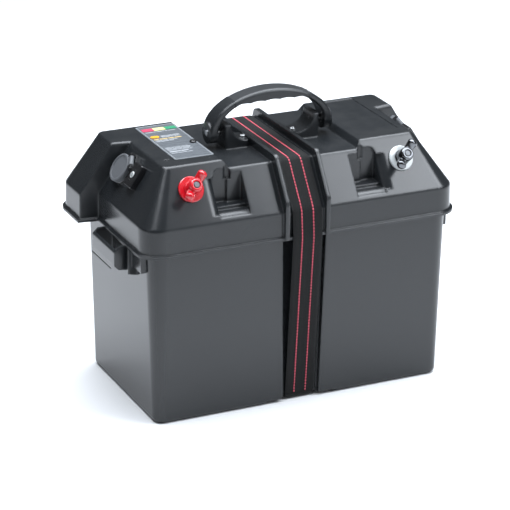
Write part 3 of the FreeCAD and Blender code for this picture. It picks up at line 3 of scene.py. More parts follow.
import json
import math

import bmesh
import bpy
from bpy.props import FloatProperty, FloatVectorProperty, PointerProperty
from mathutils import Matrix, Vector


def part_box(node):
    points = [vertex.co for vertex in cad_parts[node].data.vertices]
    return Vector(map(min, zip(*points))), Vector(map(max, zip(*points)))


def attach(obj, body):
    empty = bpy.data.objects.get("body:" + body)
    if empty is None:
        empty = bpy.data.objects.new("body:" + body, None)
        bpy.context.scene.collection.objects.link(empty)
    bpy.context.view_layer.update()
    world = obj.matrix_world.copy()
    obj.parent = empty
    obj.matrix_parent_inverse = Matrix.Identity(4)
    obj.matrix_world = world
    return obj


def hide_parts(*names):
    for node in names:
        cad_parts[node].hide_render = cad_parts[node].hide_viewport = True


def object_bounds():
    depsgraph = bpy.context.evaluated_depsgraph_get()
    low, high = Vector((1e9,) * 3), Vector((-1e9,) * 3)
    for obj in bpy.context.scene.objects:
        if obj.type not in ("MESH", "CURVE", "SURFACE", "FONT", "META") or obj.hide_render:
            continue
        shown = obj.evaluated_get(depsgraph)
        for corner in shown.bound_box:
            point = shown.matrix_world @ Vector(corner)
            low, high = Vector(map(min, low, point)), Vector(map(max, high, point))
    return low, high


bl_info = {
    "name": "Battery Box Finisher",
    "version": (1, 0, 0),
    "blender": (4, 5, 0),
    "location": "View3D > Sidebar > Battery Box",
    "description": "Builds the webbing, wing nuts, panel print and finishes of a battery box",
    "category": "Object",
}

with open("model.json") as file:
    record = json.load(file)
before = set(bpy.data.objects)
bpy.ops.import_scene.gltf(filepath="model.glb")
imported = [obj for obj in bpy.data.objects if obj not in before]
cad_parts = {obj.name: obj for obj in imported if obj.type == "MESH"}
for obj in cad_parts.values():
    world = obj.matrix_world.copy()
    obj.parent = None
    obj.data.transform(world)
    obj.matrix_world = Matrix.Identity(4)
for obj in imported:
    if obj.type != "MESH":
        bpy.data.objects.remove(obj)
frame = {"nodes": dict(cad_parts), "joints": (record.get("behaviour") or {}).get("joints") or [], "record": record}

NODES = frame["nodes"]
JOINTS = {joint["name"]: joint for joint in frame["joints"]}
MOUNTS = {mount["name"]: mount for mount in frame["record"]["mounts"]}
CAD_LOW, CAD_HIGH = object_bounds()
MM = 0.001


# ---- settings

def colour_setting(name, description, default):
    """A plain colour picker."""
    return FloatVectorProperty(name=name, description=description, default=default,
                               subtype="COLOR", size=3, min=0.0, max=1.0)


def length_setting(name, description, default):
    """A length in metres."""
    return FloatProperty(name=name, description=description, default=default, min=0.0,
                         unit="LENGTH", precision=5)


def share_setting(name, description, default):
    """A plain number from nothing upwards, such as a power or a share."""
    return FloatProperty(name=name, description=description, default=default, min=0.0)


def angle_setting(name, description, degrees):
    """An angle, given in degrees."""
    return FloatProperty(name=name, description=description, default=math.radians(degrees),
                         subtype="ANGLE")


class BatteryBoxMoulding(bpy.types.PropertyGroup):
    """The moulded plastics."""
    charcoal: colour_setting("Charcoal", "Tub, lid and handle core", (0.0120, 0.0136, 0.0152))
    fittings: colour_setting("Fittings", "Sockets, breakers and buttons", (0.009, 0.009, 0.010))
    buckle: colour_setting("Buckle", "Cam buckle", (0.014, 0.014, 0.015))
    cap: colour_setting("Caps", "Socket caps", (0.085, 0.09, 0.097))
    grip: colour_setting("Grip", "Soft grip", (0.0135, 0.0150, 0.0165))
    red: colour_setting("Red", "Positive pad and wing nut", (0.50, 0.006, 0.014))
    white: colour_setting("White", "Negative pad and reset buttons", (0.40, 0.42, 0.42))
    gloss: share_setting("Roughness", "Roughness of the charcoal moulding", 0.225)
    grain: length_setting("Grain size", "Size of the moulded grain", 0.0011)
    grain_depth: length_setting("Grain depth", "Depth of the moulded grain", 0.00001)
    edge: length_setting("Edge radius", "Radius that the mould leaves on sharp edges", 0.0034)
    wear: share_setting("Edge wear", "How far edges are rubbed lighter", 0.5)
    dust: share_setting("Dust", "Fine dust on faces that look up", 0.03)


class BatteryBoxWebbing(bpy.types.PropertyGroup):
    """The hold-down strap."""
    yarn: colour_setting("Yarn", "Webbing yarn", (0.0030, 0.0032, 0.0033))
    tracer: colour_setting("Tracer", "Red stitched lines", (0.70, 0.055, 0.105))
    bend: length_setting("Bend", "How far a turn is eased each side", 0.0045)
    step: length_setting("Step", "Spacing of the sections along the strap", 0.0025)
    rib: length_setting("Rib", "Pitch of the woven ribs", 0.0016)
    thick: length_setting("Thickness", "Thickness of the webbing", 0.0017)
    line_place: length_setting("Line place", "Stitched line from the middle", 0.0075)
    stitch: length_setting("Stitch", "Length of one stitch", 0.0034)
    stitch_gap: length_setting("Stitch gap", "Gap between two stitches", 0.0005)
    thread: length_setting("Thread", "Radius of the thread", 0.00088)
    fold: length_setting("Fold", "Length of the folded tail", 0.021)


class BatteryBoxFittings(bpy.types.PropertyGroup):
    """Wing nuts, threads and small metal."""
    steel: colour_setting("Steel", "Plated steel", (0.62, 0.63, 0.64))
    dark_chrome: colour_setting("Dark chrome", "Negative wing nut", (0.16, 0.165, 0.175))
    dulled: colour_setting("Dulled steel", "Terminal studs", (0.17, 0.175, 0.185))
    brass: colour_setting("Brass", "Contacts and lugs", (0.72, 0.52, 0.23))
    wing_thick: length_setting("Wing", "Thickness of a wing", 0.0100)
    hub_tall: length_setting("Hub", "Height of a wing nut's hub", 0.0186)
    voxel: length_setting("Voxel", "Detail of the cast wing nuts", 0.00048)
    thread_pitch: length_setting("Thread pitch", "Pitch of the terminal studs", 0.00125)
    thread_depth: length_setting("Thread depth", "Height of the thread's crest", 0.00024)


class BatteryBoxPanel(bpy.types.PropertyGroup):
    """The charge meter's panel."""
    face: colour_setting("Face", "Overlay", (0.095, 0.105, 0.115))
    ink: colour_setting("Ink", "Light print", (0.46, 0.48, 0.50))
    warm_ink: colour_setting("Warm ink", "Yellow print", (0.72, 0.52, 0.20))
    red: colour_setting("Red bar", "Low charge window", (0.62, 0.075, 0.14))
    yellow: colour_setting("Yellow bar", "Middle charge window", (0.80, 0.82, 0.36))
    green: colour_setting("Green bar", "Full charge window", (0.045, 0.30, 0.155))
    amber: colour_setting("Amber lamp", "Lamp beside the test button", (0.85, 0.40, 0.04))
    board: colour_setting("Board", "Circuit board", (0.012, 0.105, 0.045))
    print_thick: length_setting("Print", "Thickness of the printed ink", 0.00008)


class BatteryBoxStage(bpy.types.PropertyGroup):
    """Floor, lights and camera."""
    floor: colour_setting("Floor", "Studio floor", (0.88, 0.885, 0.89))
    floor_size: length_setting("Floor size", "Side of the floor", 16.0)
    sky: share_setting("Sky", "Strength of the surrounding light", 0.09)
    key: share_setting("Key", "Power of the main soft box", 23.0)
    fill: share_setting("Fill", "Power of the overhead soft box", 96.0)
    rim: share_setting("Rim", "Power of the side soft box", 1.2)
    back: share_setting("Back", "Power of the light on the floor behind", 4.0)
    front: share_setting("Front", "Power of the low light in front", 6.0)
    azimuth: angle_setting("Azimuth", "Camera round the box", -25.47)
    elevation: angle_setting("Elevation", "Camera above the horizon", 21.81)
    roll: angle_setting("Roll", "Camera turned about its view", 0.73)
    distance: length_setting("Distance", "Camera from its target", 3.030)
    target: length_setting("Target height", "Height that the camera looks at", 0.150)
    lens: share_setting("Lens", "Focal length in millimetres", 174.8)
    shift: FloatVectorProperty(name="Shift", description="Lens shift", size=2,
                               default=(-0.0213, -0.0008))


# ---- shader effects

def effect(name, inputs, outputs):
    """A new shader node group with named sockets, its input node and its output node."""
    tree = bpy.data.node_groups.new(name, "ShaderNodeTree")
    for socket_name, kind, default in inputs:
        socket = tree.interface.new_socket(socket_name, in_out="INPUT", socket_type=kind)
        if default is not None:
            socket.default_value = default
    for socket_name, kind in outputs:
        tree.interface.new_socket(socket_name, in_out="OUTPUT", socket_type=kind)
    return tree, tree.nodes.new("NodeGroupInput"), tree.nodes.new("NodeGroupOutput")


def node(tree, kind, **settings):
    """A node with its plain settings; numbers and colours for its sockets go in by name."""
    made = tree.nodes.new(kind)
    for name, value in settings.items():
        if hasattr(made, name):
            setattr(made, name, value)
        else:
            made.inputs[name.replace("_", " ")].default_value = value
    return made


def maths(tree, operation, first, second, clamp=False):
    """A maths node; each side is a socket or a number."""
    made = tree.nodes.new("ShaderNodeMath")
    made.operation = operation
    made.use_clamp = clamp
    for socket, value in zip(made.inputs, (first, second)):
        if isinstance(value, (int, float)):
            socket.default_value = value
        else:
            tree.links.new(value, socket)
    return made.outputs[0]


def ranged(tree, value, low, high, to_low=0.0, to_high=1.0):
    """A value taken from one range to another, held at its ends."""
    made = node(tree, "ShaderNodeMapRange")
    tree.links.new(value, made.inputs["Value"])
    for name, number in (("From Min", low), ("From Max", high), ("To Min", to_low),
                         ("To Max", to_high)):
        made.inputs[name].default_value = number
    return made.outputs["Result"]


def noise(tree, vector, scale, detail=3.0, roughness=0.5):
    """Noise at a scale per metre."""
    made = node(tree, "ShaderNodeTexNoise", Scale=scale, Detail=detail, Roughness=roughness)
    tree.links.new(vector, made.inputs["Vector"])
    return made.outputs["Fac"]


def edge_effect():
    """Rounded edges: a softened normal, and a mask of the edges rubbed by handling."""
    tree, source, result = effect(
        "Moulded edges",
        [("Vector", "NodeSocketVector", None), ("Radius", "NodeSocketFloat", 0.001)],
        [("Normal", "NodeSocketVector"), ("Edge", "NodeSocketFloat")])
    bevel = node(tree, "ShaderNodeBevel", samples=4)
    tree.links.new(source.outputs["Radius"], bevel.inputs["Radius"])
    flat = node(tree, "ShaderNodeNewGeometry")
    facing = node(tree, "ShaderNodeVectorMath", operation="DOT_PRODUCT")
    tree.links.new(bevel.outputs["Normal"], facing.inputs[0])
    tree.links.new(flat.outputs["Normal"], facing.inputs[1])
    turned = maths(tree, "SUBTRACT", 1.0, facing.outputs["Value"], clamp=True)
    sharp = ranged(tree, turned, 0.01, 0.16)
    patchy = ranged(tree, noise(tree, source.outputs["Vector"], 90.0, 4.0), 0.35, 0.65, 0.35, 1.0)
    tree.links.new(maths(tree, "MULTIPLY", sharp, patchy), result.inputs["Edge"])
    tree.links.new(bevel.outputs["Normal"], result.inputs["Normal"])
    return tree


def grain_effect():
    """Fine moulded grain: pebbles of one size over a softer unevenness."""
    tree, source, result = effect(
        "Moulded grain",
        [("Vector", "NodeSocketVector", None), ("Scale", "NodeSocketFloat", 900.0)],
        [("Height", "NodeSocketFloat"), ("Mottle", "NodeSocketFloat")])
    pebbles = node(tree, "ShaderNodeTexVoronoi", feature="SMOOTH_F1", Smoothness=0.6)
    tree.links.new(source.outputs["Vector"], pebbles.inputs["Vector"])
    tree.links.new(source.outputs["Scale"], pebbles.inputs["Scale"])
    pitted = noise(tree, source.outputs["Vector"], 1900.0, 2.0)
    tree.links.new(maths(tree, "ADD", pebbles.outputs["Distance"],
                         maths(tree, "MULTIPLY", pitted, 0.5)), result.inputs["Height"])
    tree.links.new(noise(tree, source.outputs["Vector"], 7.0, 3.0, 0.5), result.inputs["Mottle"])
    return tree


def dust_effect():
    """Dust that settles on faces that look up, and thin scuffs in two directions."""
    tree, source, result = effect(
        "Dust and scuffs",
        [("Vector", "NodeSocketVector", None)],
        [("Dust", "NodeSocketFloat"), ("Scuff", "NodeSocketFloat")])
    shape = node(tree, "ShaderNodeNewGeometry")
    parts = node(tree, "ShaderNodeSeparateXYZ")
    tree.links.new(shape.outputs["Normal"], parts.inputs["Vector"])
    level = ranged(tree, parts.outputs["Z"], 0.35, 1.0)
    clouds = ranged(tree, noise(tree, source.outputs["Vector"], 26.0, 8.0, 0.62), 0.4, 0.75)
    tree.links.new(maths(tree, "MULTIPLY", level, clouds), result.inputs["Dust"])
    stretched = node(tree, "ShaderNodeMapping")
    stretched.inputs["Rotation"].default_value = (0.4, 0.7, 0.2)
    stretched.inputs["Scale"].default_value = (9.0, 260.0, 40.0)
    tree.links.new(source.outputs["Vector"], stretched.inputs["Vector"])
    lines = ranged(tree, noise(tree, stretched.outputs["Vector"], 1.0, 2.0), 0.70, 0.78)
    where = ranged(tree, noise(tree, source.outputs["Vector"], 14.0, 2.0), 0.52, 0.68)
    tree.links.new(maths(tree, "MULTIPLY", lines, where), result.inputs["Scuff"])
    return tree


EFFECTS = {"edge": edge_effect, "grain": grain_effect, "dust": dust_effect}
built_effects = {}


def place_effect(tree, name, vector, **values):
    """Put a shared effect in a material with its own values."""
    if name not in built_effects:
        built_effects[name] = EFFECTS[name]()
    made = tree.nodes.new("ShaderNodeGroup")
    made.node_tree = built_effects[name]
    tree.links.new(vector, made.inputs["Vector"])
    for socket_name, value in values.items():
        made.inputs[socket_name].default_value = value
    return made.outputs


def tinted(tree, factor, base, other, amount=1.0):
    """One colour moved towards another by factor times amount."""
    mix = node(tree, "ShaderNodeMix", data_type="RGBA")
    tree.links.new(maths(tree, "MULTIPLY", factor, amount), mix.inputs["Factor"])
    for socket, value in ((mix.inputs["A"], base), (mix.inputs["B"], other)):
        if isinstance(value, bpy.types.NodeSocket):
            tree.links.new(value, socket)
        else:
            socket.default_value = (*value, 1.0)
    return mix.outputs["Result"]


def blank_finish(name, roughness, metallic=0.0):
    """A material with its tree, its shader and its object coordinates."""
    material = bpy.data.materials.new(name)
    material.use_nodes = True
    tree = material.node_tree
    shader = tree.nodes["Principled BSDF"]
    feed(tree, shader, Roughness=roughness, Metallic=metallic)
    return material, tree, shader, node(tree, "ShaderNodeTexCoord").outputs["Object"]


def feed(tree, shader, **values):
    """Link sockets to a shader's inputs, or set plain numbers on them, by name."""
    for name, value in values.items():
        socket = shader.inputs[name.replace("_", " ")]
        if isinstance(value, bpy.types.NodeSocket):
            tree.links.new(value, socket)
        else:
            socket.default_value = value


def bumped(tree, shader, height, depth, normal=None):
    """Raise the surface by a height map of the given depth in metres."""
    bump = node(tree, "ShaderNodeBump", Strength=1.0, Distance=depth)
    tree.links.new(height, bump.inputs["Height"])
    if normal is not None:
        tree.links.new(normal, bump.inputs["Normal"])
    feed(tree, shader, Normal=bump.outputs["Normal"])


def stretched_noise(tree, place, scale, detail):
    """Noise drawn out into lines, with its scale given along each axis."""
    drawn = node(tree, "ShaderNodeMapping", Scale=scale)
    tree.links.new(place, drawn.inputs["Vector"])
    return noise(tree, drawn.outputs["Vector"], 1.0, detail)


def mid_range(tree, value, low, high):
    """Noise's usual range taken to another."""
    return ranged(tree, value, 0.3, 0.7, low, high)


def lighter(colour, by, lift=0.0):
    """A colour made lighter."""
    return tuple(min(1.0, part * by + lift) for part in colour)


def moulded_plastic(name, colour, roughness, grain, depth, edge, wear, dust, coat=0.0):
    """Plastic with moulded grain, rubbed edges, dust and faint scuffs."""
    material, tree, shader, place = blank_finish(name, roughness)
    edges = place_effect(tree, "edge", place, Radius=edge)
    pebble = place_effect(tree, "grain", place, Scale=1.0 / grain)
    marks = place_effect(tree, "dust", place)
    mottled = tinted(tree, pebble["Mottle"], colour, lighter(colour, 1.35), 0.5)
    rubbed = tinted(tree, edges["Edge"], mottled, lighter(colour, 2.2, 0.03), wear)
    scuffed = tinted(tree, marks["Scuff"], rubbed, lighter(colour, 1.4, 0.01), 0.12)
    dusty = tinted(tree, marks["Dust"], scuffed, (0.32, 0.31, 0.29), dust)
    uneven = mid_range(tree, pebble["Mottle"], roughness - 0.02, roughness + 0.03)
    worn = maths(tree, "ADD", uneven, maths(tree, "MULTIPLY", marks["Scuff"], 0.02))
    matted = maths(tree, "ADD", worn, maths(tree, "MULTIPLY", marks["Dust"], dust))
    feed(tree, shader, Base_Color=dusty, Roughness=matted, Coat_Weight=coat, Coat_Roughness=0.12)
    bumped(tree, shader, pebble["Height"], depth, edges["Normal"])
    return material


def plated_metal(name, colour, roughness, edge=0.0004, brushed=0.00002):
    """Plated metal with fine brushed lines and slightly worn edges."""
    material, tree, shader, place = blank_finish(name, roughness, 1.0)
    edges = place_effect(tree, "edge", place, Radius=edge)
    lines = stretched_noise(tree, place, (500.0, 500.0, 6000.0), 3.0)
    tone = tinted(tree, lines, lighter(colour, 0.82), colour)
    worn = tinted(tree, edges["Edge"], tone, lighter(colour, 1.15, 0.04), 0.6)
    feed(tree, shader, Base_Color=worn,
         Roughness=mid_range(tree, lines, roughness - 0.05, roughness + 0.08))
    bumped(tree, shader, lines, brushed, edges["Normal"])
    return material


def charcoal_moulding(moulding):
    """Satin charcoal polypropylene of the tub, the lid and the handle's core."""
    return moulded_plastic("Charcoal moulding", moulding.charcoal, moulding.gloss, moulding.grain,
                           moulding.grain_depth, moulding.edge, moulding.wear, moulding.dust)


def black_fittings(moulding):
    """Glossy black of the sockets, breakers and test button."""
    return moulded_plastic("Black fittings", moulding.fittings, 0.2, 0.0009, 0.000008, 0.0005,
                           0.35, 0.05, coat=0.3)


def buckle_plastic(moulding):
    """Matt glass-filled nylon of the cam buckle."""
    return moulded_plastic("Buckle nylon", moulding.buckle, 0.48, 0.0007, 0.00003, 0.0006, 0.5, 0.1)


def cap_plastic(moulding):
    """Dark grey of the socket caps."""
    return moulded_plastic("Cap plastic", moulding.cap, 0.42, 0.0008, 0.00002, 0.0008, 0.4, 0.1)


def red_plastic(moulding):
    """Glossy red of the positive pad and wing nut."""
    return moulded_plastic("Red plastic", moulding.red, 0.16, 0.0022, 0.000015, 0.0006, 0.12, 0.02,
                           coat=0.7)


def white_plastic(moulding):
    """Glossy white of the negative pad and the reset buttons."""
    return moulded_plastic("White plastic", moulding.white, 0.22, 0.0015, 0.000012, 0.0006, 0.1,
                           0.05, coat=0.4)


def soft_grip(moulding):
    """Soft rubber of the grip: satin, with a fine sand grain."""
    material, tree, shader, place = blank_finish("Soft grip", 0.36)
    sand = place_effect(tree, "grain", place, Scale=1500.0)
    edges = place_effect(tree, "edge", place, Radius=0.0008)
    tone = tinted(tree, sand["Mottle"], moulding.grip, lighter(moulding.grip, 1.5), 0.6)
    polished = tinted(tree, edges["Edge"], tone, lighter(moulding.grip, 1.8), 0.5)
    feed(tree, shader, Base_Color=polished, Sheen_Weight=0.04,
         Roughness=mid_range(tree, sand["Mottle"], 0.32, 0.42))
    bumped(tree, shader, sand["Height"], 0.00004, edges["Normal"])
    return material


def webbing_yarn(webbing):
    """Flat woven polyester: ribs across, herringbone yarns along, and a little fuzz."""
    material, tree, shader, place = blank_finish("Webbing yarn", 0.62)
    chart = node(tree, "ShaderNodeUVMap", uv_map="weave").outputs["UV"]
    parts = node(tree, "ShaderNodeSeparateXYZ")
    tree.links.new(chart, parts.inputs["Vector"])
    across = maths(tree, "MULTIPLY", parts.outputs["X"], 1.0 / webbing.rib)
    along = maths(tree, "MULTIPLY", parts.outputs["Y"], 1.0 / webbing.rib)
    zigzag = maths(tree, "MULTIPLY", maths(tree, "PINGPONG", across, 2.0), 0.5)
    slanted = maths(tree, "ADD", along, zigzag)
    ribs = maths(tree, "SINE", maths(tree, "MULTIPLY", slanted, 2 * math.pi), 0.0)
    yarns = maths(tree, "SINE", maths(tree, "MULTIPLY", across, 4 * math.pi), 0.0)
    weave = maths(tree, "ADD", ribs, maths(tree, "MULTIPLY", yarns, 0.6))
    fuzz = noise(tree, place, 2600.0, 2.0)
    light = lighter(webbing.yarn, 2.4)
    # Painted shade and highlight: the weave's grooves are painted darker and its ridges lighter, besides the bump
    # that the same weave height drives.
    tone = tinted(tree, ranged(tree, weave, -1.0, 1.6), webbing.yarn, light, 0.6)
    feed(tree, shader, Base_Color=tinted(tree, ranged(tree, fuzz, 0.45, 0.7), tone, light, 0.35),
         Roughness=mid_range(tree, fuzz, 0.55, 0.75), Sheen_Weight=0.05, Sheen_Roughness=0.4,
         Specular_IOR_Level=0.22)
    height = maths(tree, "ADD", weave, maths(tree, "MULTIPLY", fuzz, 1.2))
    bumped(tree, shader, height, 0.00012)
    return material


def tracer_thread(webbing):
    """Twisted red thread of the stitched lines."""
    material, tree, shader, place = blank_finish("Tracer thread", 0.5)
    wave = node(tree, "ShaderNodeTexWave", Scale=900.0, Distortion=1.5, Detail=1.0,
                bands_direction="DIAGONAL")
    tree.links.new(place, wave.inputs["Vector"])
    twist = wave.outputs["Fac"]
    # Painted shade and highlight: the twist's grooves are painted darker and its crests lighter, besides the bump
    # that the same twist drives.
    tone = tinted(tree, twist, lighter(webbing.tracer, 0.62), lighter(webbing.tracer, 1.25, 0.03))
    feed(tree, shader, Base_Color=tone, Roughness=ranged(tree, twist, 0.0, 1.0, 0.58, 0.4),
         Sheen_Weight=0.2)
    bumped(tree, shader, twist, 0.00008)
    return material


def panel_overlay(panel):
    """Satin polyester overlay with a soft brushed tone."""
    material, tree, shader, place = blank_finish("Panel overlay", 0.3)
    edges = place_effect(tree, "edge", place, Radius=0.0006)
    lines = stretched_noise(tree, place, (60.0, 1800.0, 60.0), 2.0)
    tone = tinted(tree, lines, lighter(panel.face, 0.92), lighter(panel.face, 1.12))
    feed(tree, shader, Base_Color=tinted(tree, edges["Edge"], tone, (0.34, 0.35, 0.36), 0.6),
         Roughness=mid_range(tree, lines, 0.26, 0.32), Coat_Weight=0.4, Coat_Roughness=0.15)
    bumped(tree, shader, lines, 0.000003, edges["Normal"])
    return material


def screened_ink(name, colour):
    """Screen-printed ink: slightly uneven and satin."""
    material, tree, shader, place = blank_finish(name, 0.45)
    speckle = noise(tree, place, 2400.0, 2.0)
    feed(tree, shader, Base_Color=tinted(tree, speckle, lighter(colour, 0.72), colour),
         Roughness=mid_range(tree, speckle, 0.36, 0.5))
    bumped(tree, shader, speckle, 0.00001)
    return material


def tinted_window(name, colour):
    """A tinted window over a ribbed diffuser."""
    material, tree, shader, place = blank_finish(name, 0.14)
    wave = node(tree, "ShaderNodeTexWave", Scale=260.0, Distortion=0.0, bands_direction="X")
    tree.links.new(place, wave.inputs["Vector"])
    ribs = wave.outputs["Fac"]
    feed(tree, shader, Base_Color=tinted(tree, ribs, lighter(colour, 0.7), lighter(colour, 1.15)),
         Roughness=mid_range(tree, noise(tree, place, 300.0), 0.1, 0.2), Coat_Weight=0.8,
         Coat_Roughness=0.05)
    bumped(tree, shader, ribs, 0.00002)
    return material


def circuit_board(panel):
    """Green solder mask with lighter tracks under it."""
    material, tree, shader, place = blank_finish("Circuit board", 0.3)
    bricks = node(tree, "ShaderNodeTexBrick", Scale=260.0, offset=0.35, Mortar_Size=0.06)
    tree.links.new(place, bricks.inputs["Vector"])
    tracks = bricks.outputs["Fac"]
    feed(tree, shader, Base_Color=tinted(tree, tracks, panel.board, lighter(panel.board, 2.4), 0.9),
         Roughness=ranged(tree, tracks, 0.0, 1.0, 0.34, 0.24))
    bumped(tree, shader, tracks, 0.00003)
    return material


def studio_floor(stage):
    """Plain pale paper with a barely visible tooth."""
    material, tree, shader, place = blank_finish("Studio floor", 0.8)
    tooth = noise(tree, place, 9.0, 3.0)
    feed(tree, shader, Base_Color=tinted(tree, tooth, lighter(stage.floor, 0.985), stage.floor),
         Specular_IOR_Level=0.1)
    return material


# ---- making pieces

def dress(material, *names):
    """Give CAD nodes a material."""
    for name in names:
        slots = NODES[name].data.materials
        slots.clear()
        slots.append(material)
        for face in NODES[name].data.polygons:
            face.material_index = 0


def piece_from(shape, name, material, body, sharp=35.0):
    """Turn a bmesh into a piece that rides on a body."""
    bmesh.ops.recalc_face_normals(shape, faces=shape.faces)
    mesh = bpy.data.meshes.new(name)
    shape.to_mesh(mesh)
    shape.free()
    for face in mesh.polygons:
        face.use_smooth = True
    mesh.set_sharp_from_angle(angle=math.radians(sharp))
    made = bpy.data.objects.new(name, mesh)
    mesh.materials.append(material)
    bpy.context.scene.collection.objects.link(made)
    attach(made, body)
    return made


def skin_rings(shape, rings, capped=True):
    """Faces between rings of places, with flat ends."""
    made = [[shape.verts.new(place) for place in ring] for ring in rings]
    count = len(made[0])
    for first, second in zip(made, made[1:]):
        for index in range(count):
            after = (index + 1) % count
            shape.faces.new((first[index], first[after], second[after], second[index]))
    if capped:
        shape.faces.new(made[0][::-1])
        shape.faces.new(made[-1])
    return made


def slab(shape, low, high, round_off=0.0):
    """A box between two corners, with its upright edges rounded."""
    made = bmesh.ops.create_cube(shape, size=1.0)["verts"]
    for vertex in made:
        for axis in range(3):
            span = high[axis] - low[axis]
            vertex.co[axis] = (low[axis] + high[axis]) / 2 + vertex.co[axis] * span
    if round_off:
        upright = [edge for edge in {edge for vertex in made for edge in vertex.link_edges}
                   if abs(edge.verts[0].co.z - edge.verts[1].co.z) > 1e-7]
        bmesh.ops.bevel(shape, geom=upright, offset=round_off, segments=3, profile=0.5,
                        affect="EDGES")


def circle(sides):
    """Cosine and sine at even steps round a circle."""
    steps = [2 * math.pi * index / sides for index in range(sides)]
    return [(math.cos(step), math.sin(step)) for step in steps]


def turned_profile(shape, profile, place, sides=48):
    """A closed half section turned about a frame's Z."""
    rings = [[shape.verts.new(place @ Vector((radius * cosine, radius * sine, height)))
              for cosine, sine in circle(sides)] for radius, height in profile]
    for first, second in zip(rings, rings[1:] + rings[:1]):
        for index in range(sides):
            after = (index + 1) % sides
            shape.faces.new((first[index], first[after], second[after], second[index]))


def frame_along(origin, out, towards=Vector((1, 0, 0))):
    """A placement whose Z runs along out and whose X leans towards a direction."""
    axis = Vector(out).normalized()
    side = (towards - axis * towards.dot(axis)).normalized()
    up = axis.cross(side)
    turn = Matrix((side, up, axis)).transposed().to_4x4()
    return Matrix.Translation(origin) @ turn


def seen_from(place, name):
    """A CAD node's vertices in a placement's own frame."""
    back = place.inverted()
    return [back @ vertex.co for vertex in NODES[name].data.vertices]


def run_lengths(line, start=0.0):
    """How far along a line each of its places is."""
    lengths = [start]
    for first, second in zip(line, line[1:]):
        lengths.append(lengths[-1] + (second - first).length)
    return lengths


def baked_mesh(made):
    """Apply a piece's modifiers to its mesh."""
    graph = bpy.context.evaluated_depsgraph_get()
    mesh = bpy.data.meshes.new_from_object(made.evaluated_get(graph))
    made.modifiers.clear()
    made.data = mesh
    for face in mesh.polygons:
        face.use_smooth = True
    return made


# ---- webbing

def side_ring(name):
    """The outline of a webbing node's flat side, as places in order round it."""
    mesh = NODES[name].data
    side = max(vertex.co.x for vertex in mesh.vertices)

    def key(index):
        place = mesh.vertices[index].co
        return (round(place.y, 5), round(place.z, 5))
    uses = {}
    for face in mesh.polygons:
        if any(abs(mesh.vertices[index].co.x - side) > 1e-6 for index in face.vertices):
            continue
        corners = [key(index) for index in face.vertices]
        for first, second in zip(corners, corners[1:] + corners[:1]):
            pair = frozenset((first, second))
            uses[pair] = uses.get(pair, 0) + 1
    beside = {}
    for pair, count in uses.items():
        if count == 1:
            first, second = tuple(pair)
            beside.setdefault(first, []).append(second)
            beside.setdefault(second, []).append(first)
    ring = [min(beside)]
    before = None
    while True:
        ahead = [place for place in beside[ring[-1]] if place != before][0]
        if ahead == ring[0]:
            return [Vector((0.0, y, z)) for y, z in ring]
        before = ring[-1]
        ring.append(ahead)


def middle_line(name, thick=2.4 * MM):
    """A webbing node's middle line in the YZ plane, from its front end to its back end."""
    ring = side_ring(name)
    count = len(ring)
    ends = [index for index in range(count)
            if (ring[index] - ring[(index + 1) % count]).length < thick]
    start = ends[0] + 1
    around = ring[start:] + ring[:start]
    half = count // 2
    line = [(around[index] + around[count - 1 - index]) / 2 for index in range(half)]
    if line[0].y > line[-1].y:
        line.reverse()
    return line


def eased(points, bend, step):
    """A line with its turns eased, in even steps."""
    fine = [points[0]]
    for before, corner, after in zip(points, points[1:], points[2:]):
        back = before - corner
        ahead = after - corner
        reach = min(bend, back.length * 0.45, ahead.length * 0.45)
        start = corner + back.normalized() * reach
        end = corner + ahead.normalized() * reach
        for index in range(9):
            share = index / 8
            fine.append(start.lerp(corner, share).lerp(corner.lerp(end, share), share))
    fine.append(points[-1])
    lengths = run_lengths(fine)
    count = max(2, round(lengths[-1] / step))
    line = []
    place = 0
    for index in range(count + 1):
        target = lengths[-1] * index / count
        while place < len(fine) - 2 and lengths[place + 1] < target:
            place += 1
        span = lengths[place + 1] - lengths[place]
        line.append(fine[place].lerp(fine[place + 1], (target - lengths[place]) / max(span, 1e-9)))
    return line


def outward(line, index):
    """The direction off the box at a place on a webbing line."""
    ahead = line[min(index + 1, len(line) - 1)] - line[max(index - 1, 0)]
    ahead.normalize()
    return Vector((0, -ahead.z, ahead.y))


def webbing_band(shape, line, half, thick):
    """Webbing with rounded selvedges along a line, mapped in metres for its weave."""
    columns = 18
    ripple = 0.06 * MM
    ripples_each_metre = 95
    chart = shape.loops.layers.uv.new("weave")
    rings = []
    lengths = run_lengths(line)
    for index, middle in enumerate(line):
        out = outward(line, index)
        ring = []
        for face in (1, -1):
            for column in range(columns + 1):
                share = (2 * column / columns - 1) * face
                body = (1 - abs(share) ** 6) ** 0.5
                wave = ripple * math.sin(lengths[index] * ripples_each_metre + share)
                place = middle + out * (face * thick / 2 * body + wave)
                ring.append(Vector((share * half, place.y, place.z)))
        rings.append(ring)
    made = skin_rings(shape, rings)
    row_of = {vertex: row for row, ring in enumerate(made) for vertex in ring}
    for face in shape.faces:
        for loop in face.loops:
            loop[chart].uv = (loop.vert.co.x, lengths[row_of[loop.vert]])


def stitch(shape, start, end, out, radius):
    """One stitch: a flattened thread whose ends dive into the webbing."""
    rows = 6
    ahead = (end - start).normalized()
    across = ahead.cross(out).normalized()
    rings = []
    for row in range(rows + 1):
        share = row / rows
        arch = math.sin(math.pi * share) ** 0.45
        middle = start.lerp(end, share) - out * (radius * (1 - arch) * 0.9)
        size = radius * (0.45 + 0.55 * arch)
        rings.append([middle + across * (size * cosine) + out * (size * 0.6 * sine)
                      for cosine, sine in circle(8)])
    skin_rings(shape, rings)


def place_along(line, lengths, distance):
    """The place on a line at a distance from its start, and the direction off the box there."""
    index = max(place for place, value in enumerate(lengths) if value <= distance + 1e-12)
    index = min(index, len(line) - 2)
    share = (distance - lengths[index]) / (lengths[index + 1] - lengths[index])
    return line[index].lerp(line[index + 1], share), outward(line, index)


